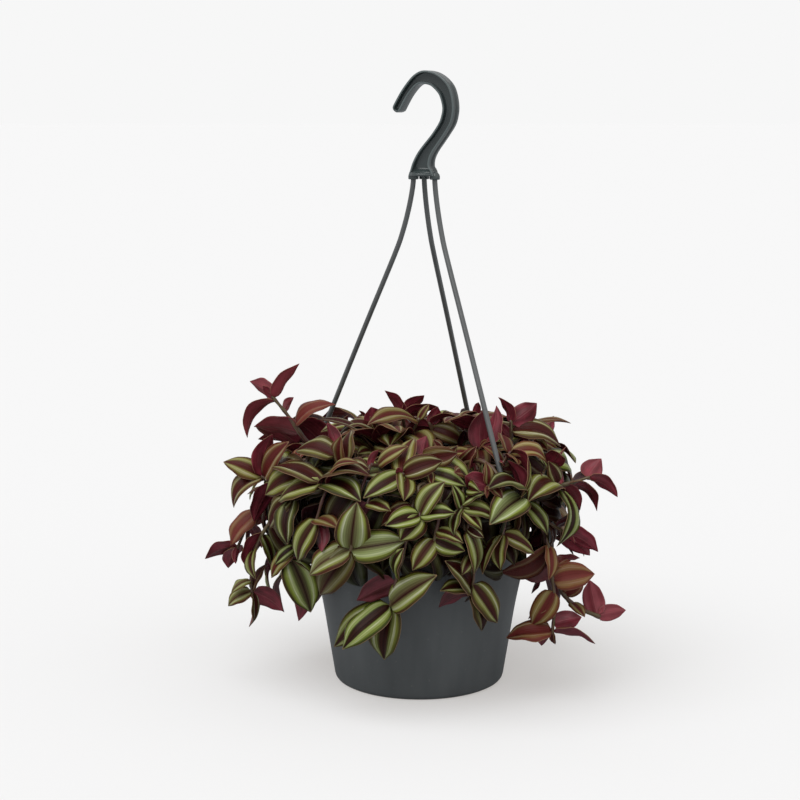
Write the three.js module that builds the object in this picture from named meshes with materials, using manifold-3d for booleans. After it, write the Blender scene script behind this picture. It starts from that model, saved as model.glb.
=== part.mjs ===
// A wandering dude plant (tradescantia) growing over the rim of a hanging plastic pot.
// Millimetres, +Z up, origin at the centre of the pot's underside, +Y away from the viewer.

import * as THREE from "three";
import { mergeVertices } from "three/addons/utils/BufferGeometryUtils.js";
import Module from "manifold-3d";

const wasm = await Module();
wasm.setup();

// Driving dimensions of the pot
const POT_HEIGHT = 150;
const BASE_RADIUS = 56.4;
const WALL_SLOPE = 0.164;
const WALL_THICKNESS = 1.8;
const COLLAR_HEIGHT = 64;
const COLLAR_STEP = 1.0;
const COLLAR_EASE = 11;
const RIM_RADIUS = 85;
const RIM_DEPTH = 6;
const FLOOR_THICKNESS = 2.2;
const FOOT_RECESS = 2.2;
const PAD_RADIUS = 18;
const DRAIN_COUNT = 6;
const DRAIN_RADIUS = 3.5;
const DRAIN_RING = 34;
const POT_SIDES = 32;
const DRILL_PAST = 2.4;

// Ears under the rim, where the hanger's legs are held
const EAR_REACH = 92.2;
const EAR_WIDTH = 11;
const EAR_TOP = 144.6;
const EAR_THICKNESS = 3.4;
const EAR_HOLE_RADIUS = 2.2;
const EAR_OVERLAP = 1.1;

// Hanger
const LEG_RADIUS = 1.7;
const LEG_SEAT_RADIUS = 87.2;
const LEG_SIDES = 6;
const LEG_STEPS = 14;
const LEG_BULB_RADIUS = 2.9;
const LEG_BULB_DEPTH = 4.6;
const LEG_BULB_TIP = 1.2;
const HOOK_AXIS_X = 2.7;
const FOOT_HEIGHT = 335;
const PLATE_HEIGHT = 337.4;
const PLATE_RADIUS = 9.2;
const PLATE_THICKNESS = 2.2;
const BOSS_RADIUS = 3.4;
const BOSS_HEIGHT = 6;
const SOCKET_DEPTH = 3.2;
const SOCKET_RADIUS = 2.5;
const HOOK_THICKNESS = 9;
const HOOK_LIP = 1.5;
const HOOK_RECESS = 2.6;
const HOOK_TURN = THREE.MathUtils.degToRad(-28);

// Compost in the pot
const SOIL_TOP = 138;
const SOIL_EDGE_DROP = 2.5;
const SOIL_LUMP = 1.4;
const SOIL_LUMP_REACH = 66;
const SOIL_SIDES = 20;
const CLEARANCE = 0.3;

// Foliage
const STEM_RADIUS = 1.5;
const STEM_SIDES = 3;
const STEM_STEP = 19;
const ROOT_DEPTH = 16;
const BLADE_THICKNESS = 0.8;
const BLADE_ARCH = 0.1;
const BLADE_LIMIT = 45;
const FULL_LENGTH = 38;
const SLENDERNESS = 0.54;
const GUARD = 0.35;

// The point the plant is seen from and the picture it is placed by: 800 pixels square
const EYE = new THREE.Vector3(-13, -1170, 377.85);
const EYE_PITCH = THREE.MathUtils.degToRad(9.155);
const PICTURE_CENTRE = 400;
const FOCAL_PIXELS = 1780.8;
const PIXELS_PER_MM = 1.52;

const UP = new THREE.Vector3(0, 0, 1);
const FRONT = "front";
const UNDER = "under";

const material = (color, roughness, metalness = 0) =>
  new THREE.MeshStandardMaterial({ color, roughness, metalness });

const MATERIALS = {
  pot: material(0x46494b, 0.5),
  hanger: material(0x2f3a3b, 0.42),
  soil: material(0x2b211b, 0.95),
  foliage: material(0x6c6b3c, 0.45),
};

// A repeatable stream of numbers between 0 and 1
function randomStream(seed) {
  let state = seed;
  return () => {
    state = (state + 0x6d2b79f5) | 0;
    let mixed = Math.imul(state ^ (state >>> 15), 1 | state);
    mixed = (mixed + Math.imul(mixed ^ (mixed >>> 7), 61 | mixed)) ^ mixed;
    return ((mixed ^ (mixed >>> 14)) >>> 0) / 4294967296;
  };
}

// Closed geometry to a solid that can be joined and cut, and back again
function solidOf(geometry) {
  const bare = geometry.index ? geometry.toNonIndexed() : geometry.clone();
  bare.deleteAttribute("normal");
  bare.deleteAttribute("uv");
  const merged = mergeVertices(bare, 1e-4);
  const mesh = new wasm.Mesh({
    numProp: 3,
    vertProperties: new Float32Array(merged.attributes.position.array),
    triVerts: new Uint32Array(merged.index.array),
  });
  return new wasm.Manifold(mesh);
}

function geometryOf(solid) {
  const mesh = solid.getMesh();
  const geometry = new THREE.BufferGeometry();
  geometry.setAttribute("position", new THREE.BufferAttribute(mesh.vertProperties, 3));
  geometry.setIndex(new THREE.BufferAttribute(mesh.triVerts, 1));
  geometry.computeVertexNormals();
  return geometry;
}

function nodeOf(name, solid, finish) {
  const mesh = new THREE.Mesh(geometryOf(solid), finish);
  mesh.name = name;
  return mesh;
}

// A body of revolution about Z from [radius, height] points that start and end on the axis
function turned(profile, sides) {
  const points = profile.map(([radius, height]) => new THREE.Vector2(radius, height));
  return new THREE.LatheGeometry(points, sides).rotateX(Math.PI / 2);
}

function upright(radius, bottom, top, sides) {
  const geometry = new THREE.CylinderGeometry(radius, radius, top - bottom, sides);
  return geometry.rotateX(Math.PI / 2).translate(0, 0, (bottom + top) / 2);
}

// A round rod of few sides along a smooth path
function rod(points, radius, sides, steps) {
  const section = new THREE.Shape();
  for (let side = 0; side < sides; side += 1) {
    const angle = (side / sides) * 2 * Math.PI;
    const x = radius * Math.cos(angle);
    const y = radius * Math.sin(angle);
    if (side === 0) section.moveTo(x, y);
    else section.lineTo(x, y);
  }
  section.closePath();
  const path = new THREE.CatmullRomCurve3(points, false, "centripetal");
  return new THREE.ExtrudeGeometry(section, { steps, extrudePath: path, bevelEnabled: false });
}

// Compass angle round the pot: 0 faces the viewer, 90 is the right-hand side
function around(degrees, radius, height) {
  const angle = THREE.MathUtils.degToRad(degrees);
  return new THREE.Vector3(radius * Math.sin(angle), -radius * Math.cos(angle), height);
}

function bearingOf(point) {
  return THREE.MathUtils.radToDeg(Math.atan2(point.x, -point.y));
}

const wallRadius = (height) => BASE_RADIUS + WALL_SLOPE * height;

// Bearings of the three legs, as their lines run in the picture
const LEG_BEARINGS = { right: 35.5, back: 153.9, left: 232.7 };

function potBody() {
  const upper = (height) => wallRadius(height) + COLLAR_STEP;
  const inner = (height) => wallRadius(height) - WALL_THICKNESS;
  const rimUnder = POT_HEIGHT - RIM_DEPTH;
  const floorTop = FOOT_RECESS + FLOOR_THICKNESS;
  const profile = [
    [0, 0],
    [PAD_RADIUS, 0],
    [PAD_RADIUS + 2, FOOT_RECESS],
    [BASE_RADIUS - 10, FOOT_RECESS],
    [BASE_RADIUS - 8, 0],
    [BASE_RADIUS - 2, 0],
    [wallRadius(3), 3],
    [wallRadius(COLLAR_HEIGHT - COLLAR_EASE), COLLAR_HEIGHT - COLLAR_EASE],
    [upper(COLLAR_HEIGHT + COLLAR_EASE), COLLAR_HEIGHT + COLLAR_EASE],
    [upper(rimUnder), rimUnder],
    [RIM_RADIUS, rimUnder + 1],
    [RIM_RADIUS, POT_HEIGHT - 0.8],
    [RIM_RADIUS - 0.8, POT_HEIGHT],
    [inner(POT_HEIGHT) + 0.8, POT_HEIGHT],
    [inner(POT_HEIGHT - 1), POT_HEIGHT - 1],
    [inner(floorTop + 4), floorTop + 4],
    [inner(floorTop) - 3, floorTop],
    [0, floorTop],
  ];
  return solidOf(turned(profile, POT_SIDES));
}

function earAt(degrees) {
  const inset = wallRadius(EAR_TOP) - EAR_OVERLAP;
  const block = new THREE.BoxGeometry(EAR_WIDTH, EAR_REACH - inset, EAR_THICKNESS);
  block.translate(0, -(EAR_REACH + inset) / 2, EAR_TOP - EAR_THICKNESS / 2);
  return block.rotateZ(THREE.MathUtils.degToRad(degrees));
}

function makePot() {
  let pot = potBody();
  for (const degrees of Object.values(LEG_BEARINGS)) {
    const seat = around(degrees, LEG_SEAT_RADIUS, 0);
    const [bottom, top] = [EAR_TOP - EAR_THICKNESS - DRILL_PAST, EAR_TOP + DRILL_PAST];
    const hole = upright(EAR_HOLE_RADIUS, bottom, top, 8).translate(seat.x, seat.y, 0);
    pot = pot.add(solidOf(earAt(degrees))).subtract(solidOf(hole));
  }
  for (let drain = 0; drain < DRAIN_COUNT; drain += 1) {
    const place = around((drain * 360) / DRAIN_COUNT, DRAIN_RING, 0);
    const top = FOOT_RECESS + FLOOR_THICKNESS + DRILL_PAST;
    const bore = upright(DRAIN_RADIUS, -DRILL_PAST, top, 10).translate(place.x, place.y, 0);
    pot = pot.subtract(solidOf(bore));
  }
  return pot;
}

// Each leg leaves the hook's foot straight down and bows out: [share of the way out, height]
const LEG_BOW = [
  [0, FOOT_HEIGHT + SOCKET_DEPTH - CLEARANCE],
  [0.005, FOOT_HEIGHT - 4],
  [0.043, 317],
  [0.105, 301],
  [0.19, 285],
  [0.5, 235],
  [0.87, 174],
  [0.975, 157],
  [1, POT_HEIGHT],
];

// Where each leg is plugged into the hook's foot, right and behind its axis
const LEG_SOCKETS = {
  right: new THREE.Vector3(6.9, -3.6, 0),
  back: new THREE.Vector3(0.2, 6.2, 0),
  left: new THREE.Vector3(-6.9, 3.2, 0),
};

function makeLeg(side) {
  const seat = around(LEG_BEARINGS[side], LEG_SEAT_RADIUS, 0);
  const socket = LEG_SOCKETS[side].clone().add(new THREE.Vector3(HOOK_AXIS_X, 0, 0));
  const path = LEG_BOW.map(([share, height]) => {
    const place = socket.clone().lerp(seat, share);
    return place.setZ(height);
  });
  const bulbTop = EAR_TOP - EAR_THICKNESS - CLEARANCE;
  const plug = turned(
    [
      [0, bulbTop - LEG_BULB_DEPTH],
      [LEG_BULB_TIP, bulbTop - LEG_BULB_DEPTH + 0.2],
      [LEG_BULB_RADIUS, bulbTop - 1.8],
      [LEG_BULB_RADIUS, bulbTop],
      [LEG_RADIUS, bulbTop],
      [LEG_RADIUS, POT_HEIGHT + 1],
      [0, POT_HEIGHT + 1.4],
    ],
    LEG_SIDES,
  ).translate(seat.x, seat.y, 0);
  return solidOf(rod(path, LEG_RADIUS, LEG_SIDES, LEG_STEPS)).add(solidOf(plug));
}

// The hook's band, from its tip round the crook to the foot: [right of the axis, height, width]
const HOOK_LINE = [
  [-18.5, 379.9, 4.6],
  [-17.5, 382.0, 5.7],
  [-12.5, 390.2, 5.9],
  [-7.2, 396.5, 6.2],
  [-2.9, 399.7, 7.2],
  [1.7, 400.7, 8.6],
  [8.5, 399.2, 8.9],
  [14.2, 394.9, 9.3],
  [17.4, 390.0, 9.0],
  [19.3, 381.3, 8.3],
  [18.0, 373.6, 8.3],
  [15.2, 368.3, 7.8],
  [10.1, 361.4, 7.8],
  [5.4, 355.7, 8.4],
  [1.7, 350.1, 10.0],
  [-0.3, 344.3, 12.8],
  [-0.4, 339.5, 16.8],
  [-0.4, PLATE_HEIGHT, 17.8],
];

// Outline of the band, drawn in from its edge by a margin
function hookOutline(margin) {
  const spine = HOOK_LINE.map(([x, z]) => new THREE.Vector2(x, z));
  const left = [];
  const right = [];
  const last = spine.length - 1;
  for (let index = 0; index <= last; index += 1) {
    const before = spine[Math.max(index - 1, 0)];
    const after = spine[Math.min(index + 1, last)];
    const along = after.clone().sub(before).normalize();
    const across = new THREE.Vector2(-along.y, along.x);
    const half = HOOK_LINE[index][2] / 2 - margin;
    let centre = spine[index].clone();
    if (index === 0) centre = centre.addScaledVector(along, margin);
    if (index === last) centre = centre.addScaledVector(along, -margin);
    left.push(centre.clone().addScaledVector(across, half));
    right.push(centre.clone().addScaledVector(across, -half));
  }
  return new THREE.Shape([...left, ...right.reverse()]);
}

function hookSlab(margin, front, back) {
  const settings = { depth: back - front, bevelEnabled: false, steps: 1 };
  const slab = new THREE.ExtrudeGeometry(hookOutline(margin), settings);
  return slab.rotateX(Math.PI / 2).translate(0, back, 0);
}

function makeHook() {
  const half = HOOK_THICKNESS / 2;
  const web = half - HOOK_RECESS;
  const plate = upright(PLATE_RADIUS, PLATE_HEIGHT, PLATE_HEIGHT + PLATE_THICKNESS, 16);
  let hook = solidOf(hookSlab(0, -half, half));
  hook = hook.subtract(solidOf(hookSlab(HOOK_LIP, -half - 1, -web)));
  hook = hook.subtract(solidOf(hookSlab(HOOK_LIP, web, half + 1)));
  hook = solidOf(geometryOf(hook).rotateZ(HOOK_TURN)).add(solidOf(plate));
  for (const { x, y } of Object.values(LEG_SOCKETS)) {
    const boss = upright(BOSS_RADIUS, FOOT_HEIGHT, FOOT_HEIGHT + BOSS_HEIGHT, 10).translate(x, y, 0);
    hook = hook.add(solidOf(boss));
  }
  for (const { x, y } of Object.values(LEG_SOCKETS)) {
    const bore = upright(SOCKET_RADIUS, FOOT_HEIGHT - 1, FOOT_HEIGHT + SOCKET_DEPTH, 8).translate(x, y, 0);
    hook = hook.subtract(solidOf(bore));
  }
  return solidOf(geometryOf(hook).translate(HOOK_AXIS_X, 0, 0));
}

// A point on the line of sight through a pixel of the picture, at a given depth behind the axis
function seen([pixelX, pixelY], depth) {
  const right = (pixelX - PICTURE_CENTRE) / FOCAL_PIXELS;
  const rise = (PICTURE_CENTRE - pixelY) / FOCAL_PIXELS;
  const forward = Math.cos(EYE_PITCH) + rise * Math.sin(EYE_PITCH);
  const lift = rise * Math.cos(EYE_PITCH) - Math.sin(EYE_PITCH);
  const reach = (depth - EYE.y) / forward;
  return new THREE.Vector3(EYE.x + right * reach, depth, EYE.z + lift * reach);
}

// The crown's outer shape as [height, radius]: a dome that spills over the rim and hangs down
const CROWN = [
  [20, 84],
  [50, 92],
  [80, 100],
  [105, 106],
  [130, 108],
  [146, 103],
  [158, 94],
  [168, 80],
  [176, 60],
  [182, 36],
  [187, 0],
  [247, -60],
];

function crownRadius(height) {
  let index = 1;
  while (index < CROWN.length - 1 && CROWN[index][0] < height) index += 1;
  const [lowHeight, lowRadius] = CROWN[index - 1];
  const [highHeight, highRadius] = CROWN[index];
  const share = (height - lowHeight) / (highHeight - lowHeight);
  return lowRadius + share * (highRadius - lowRadius);
}

// Where a line of sight first meets the crown, or passes nearest to it
function onCrown(pixel, lift) {
  let nearest = null;
  let smallest = Infinity;
  for (let depth = -135; depth <= 60; depth += 1) {
    const point = seen(pixel, depth);
    const outside = Math.hypot(point.x, point.y) - crownRadius(point.z) - lift;
    if (outside <= 0) return point;
    if (outside < smallest) {
      smallest = outside;
      nearest = point;
    }
  }
  return nearest;
}

// Leaf blade: a strip that arches from its root in the stem to a pointed tip, widest past a
// third of its length. Each cross-section has two corners above and two below.
const SECTIONS = [
  { at: 0.36, width: 1.0 },
  { at: 0.72, width: 0.64 },
];

function bladePoint(leaf, at) {
  const point = leaf.root.clone().lerp(leaf.tip, at);
  return point.addScaledVector(leaf.normal, leaf.arch * leaf.length * 4 * at * (1 - at));
}

function bladeSection(leaf, section, grow) {
  const half = (leaf.width / 2) * section.width + grow;
  const thick = BLADE_THICKNESS / 2 + grow;
  const corners = [[-half, thick], [half, thick], [half, -thick], [-half, -thick]];
  return corners.map(([sideways, rise]) => {
    const point = bladePoint(leaf, section.at).addScaledVector(leaf.across, sideways);
    return point.addScaledVector(leaf.normal, rise);
  });
}

// A blade from a share of its length to the tip, grown on all sides by a margin
function bladeGeometry(leaf, grow = 0, from = 0) {
  const rings = SECTIONS.map((section) => bladeSection(leaf, section, grow));
  const tip = bladePoint(leaf, 1).addScaledVector(leaf.axis, grow);
  const points = [bladePoint(leaf, from), ...rings.flat(), tip];
  const last = points.length - 1;
  const faces = [];
  for (let side = 0; side < 4; side += 1) {
    const next = (side + 1) % 4;
    const [a, b, c, d] = [1 + side, 1 + next, 5 + next, 5 + side];
    faces.push([0, b, a], [last, d, c]);
    if (side === 0) faces.push([a, c, d], [a, b, c]);
    else faces.push([a, b, d], [b, c, d]);
  }
  const geometry = new THREE.BufferGeometry();
  const flat = points.flatMap((point) => point.toArray());
  geometry.setAttribute("position", new THREE.Float32BufferAttribute(flat, 3));
  geometry.setIndex(faces.flat());
  return geometry;
}

// A leaf from its root, tip, width and the way its upper side faces
function leafOf(root, tip, width, facing, arch = BLADE_ARCH) {
  const axis = tip.clone().sub(root).normalize();
  const normal = facing.clone().addScaledVector(axis, -facing.dot(axis)).normalize();
  return {
    root,
    tip,
    axis,
    normal,
    across: axis.clone().cross(normal),
    length: tip.distanceTo(root),
    width,
    arch,
  };
}

// Turn of a blade about its own axis that shows no more of its width than the picture does
function turnedToShow(facing, axis, shown, width) {
  const turn = Math.acos(Math.min(shown / width, 1));
  const choices = [turn, -turn].map((angle) => facing.clone().applyAxisAngle(axis, angle));
  return choices[0].z > choices[1].z ? choices[0] : choices[1];
}

// Everything grown so far, against which each new stem and blade is tested
const grown = [];

function boxOf(geometry) {
  geometry.computeBoundingBox();
  return geometry.boundingBox;
}

function keep(geometry, owner, solid = solidOf(geometry)) {
  grown.push({ box: boxOf(geometry), solid, owner });
}

function isClear(geometry, isNeighbour = () => true) {
  const box = boxOf(geometry);
  const near = grown.filter((other) => isNeighbour(other) && box.intersectsBox(other.box));
  if (near.length === 0) return true;
  const guard = solidOf(geometry);
  return near.every((other) => guard.intersect(other.solid).isEmpty());
}

// A blade is clear when its guard touches no other stem's growth, and when the part of it
// beyond the leaf base touches nothing of its own stem either
const BASE_SHARE = 0.16;
const ROOT_SHARE = 0.04;

function bladeIsClear(leaf, owner) {
  const isForeign = (other) => other.owner !== owner;
  if (!isClear(bladeGeometry(leaf, GUARD, ROOT_SHARE), isForeign)) return false;
  if (!isClear(bladeGeometry(leaf), isForeign)) return false;
  const free = bladeGeometry(leaf, GUARD / 2, BASE_SHARE);
  return isClear(free, (other) => other.owner === owner);
}

// Small ways for a blade to bend clear, in the order they are tried
function bent(leaf, swing, roll, scale) {
  const reach = leaf.tip.clone().sub(leaf.root).multiplyScalar(scale);
  const side = leaf.across.clone();
  reach.applyAxisAngle(side, THREE.MathUtils.degToRad(swing));
  const facing = leaf.normal.clone().applyAxisAngle(side, THREE.MathUtils.degToRad(swing));
  facing.applyAxisAngle(leaf.axis, THREE.MathUtils.degToRad(roll));
  const tip = leaf.root.clone().add(reach);
  return leafOf(leaf.root, tip, leaf.width * scale, facing, leaf.arch);
}

const BENDS = [];
for (const scale of [1, 0.88, 0.76]) {
  for (const swing of [0, -7, 7, -14, 14, -22, 22]) {
    for (const roll of [0, 16, -16]) BENDS.push([swing, roll, scale]);
  }
}

function addLeaf(stem, leaf, isAllowed = () => true) {
  for (const [swing, roll, scale] of BENDS) {
    const blade = bent(leaf, swing, roll, scale);
    if (!isAllowed(blade)) continue;
    if (!bladeIsClear(blade, stem.name)) continue;
    keep(bladeGeometry(blade), stem.name);
    stem.leaves.push(blade);
    return true;
  }
  return false;
}

// Planting holes in the compost: rings of [radius, count]
const PLANTING_RINGS = [
  [16, 5],
  [34, 11],
  [52, 17],
  [66, 20],
];

function plantingHoles() {
  const holes = [];
  PLANTING_RINGS.forEach(([radius, count], ring) => {
    for (let index = 0; index < count; index += 1) {
      const degrees = ((index + ring * 0.5) * 360) / count;
      holes.push({ place: around(degrees, radius, 0), degrees, radius, used: false });
    }
  });
  return holes;
}

const holes = plantingHoles();

// Free holes, the best placed for a stem first
function holesFor(point) {
  const reach = Math.hypot(point.x, point.y);
  const wanted = THREE.MathUtils.clamp(reach * 0.6, 14, 62);
  const cost = (hole) => hole.place.distanceTo(around(bearingOf(point), wanted, 0));
  const free = holes.filter((hole) => !hole.used);
  return free.sort((a, b) => cost(a) - cost(b)).slice(0, 5);
}

// The hidden part of a stem: up out of its hole and, if it hangs outside, over the rim
const RIM_CROSSING = POT_HEIGHT + 6;
const CROSSING_INSIDE = RIM_RADIUS - 9;
const CROSSING_OUTSIDE = RIM_RADIUS - 2;
const HANGS_PAST = 74;
const HANGS_BELOW = 166;

function hiddenPath(hole, first, raise, shift) {
  const base = hole.place.clone().setZ(SOIL_TOP - ROOT_DEPTH);
  const collar = hole.place.clone().setZ(SOIL_TOP + 3);
  const outside = Math.hypot(first.x, first.y) > HANGS_PAST && first.z < HANGS_BELOW;
  const bearing = bearingOf(first) + shift;
  if (!outside) {
    const middle = collar.clone().lerp(first, 0.55);
    middle.add(around(bearing + 90, shift * 0.4, raise * 0.6));
    return [base, collar, middle];
  }
  const inside = collar.clone().lerp(around(bearing, CROSSING_INSIDE, RIM_CROSSING + raise), 0.62);
  inside.z = Math.max(inside.z, SOIL_TOP + 14 + raise * 0.5);
  return [base, collar, inside, around(bearing, CROSSING_OUTSIDE, RIM_CROSSING + raise)];
}

const STEM_PUSHES = [0, 4, -4, 8, -8];
const STEM_BENDS = [];
for (const raise of [0, 4, 8, 12]) {
  for (const shift of [0, 4, -4, 8, -8, 12, -12]) STEM_BENDS.push([raise, shift]);
}

// The same course to the eye, nearer to it or further away
function pushed(points, distance) {
  return points.map((point) => {
    const away = point.clone().sub(EYE).normalize();
    return point.clone().addScaledVector(away, distance);
  });
}

// A stem's tube and centre line where the tube is clear of all that has grown, or else null
function clearStem(path, mayMeet) {
  const steps = Math.max(4, Math.round(pathLength(path) / STEM_STEP));
  const isForeign = (other) => !mayMeet.includes(other.owner);
  const geometry = rod(path, STEM_RADIUS, STEM_SIDES, steps);
  if (!isClear(rod(path, STEM_RADIUS + GUARD, STEM_SIDES, steps), isForeign)) return null;
  if (!isClear(geometry, isForeign)) return null;
  return { path, steps, geometry, curve: centreLine(path, steps) };
}

// The line through the middles of a rod's sections, straight between them as the rod is
function centreLine(path, steps) {
  const middles = new THREE.CatmullRomCurve3(path, false, "centripetal").getSpacedPoints(steps);
  const line = new THREE.CurvePath();
  for (let step = 0; step < steps; step += 1) {
    line.add(new THREE.LineCurve3(middles[step], middles[step + 1]));
  }
  return line;
}

function growStem(name, visible) {
  for (const push of STEM_PUSHES) {
    const course = pushed(visible, push);
    for (const hole of holesFor(course[0])) {
      for (const [raise, shift] of STEM_BENDS) {
        const path = [...hiddenPath(hole, course[0], raise, shift), ...course];
        const stem = clearStem(path, ["soil"]);
        if (!stem) continue;
        hole.used = true;
        keep(stem.geometry, name);
        const crossesRim = path.length > course.length + 3;
        return { name, ...stem, crossesRim, shown: pathLength(course), shoots: [], leaves: [] };
      }
    }
  }
  return null;
}

function pathLength(path) {
  return path.slice(1).reduce((sum, point, index) => sum + point.distanceTo(path[index]), 0);
}

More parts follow.
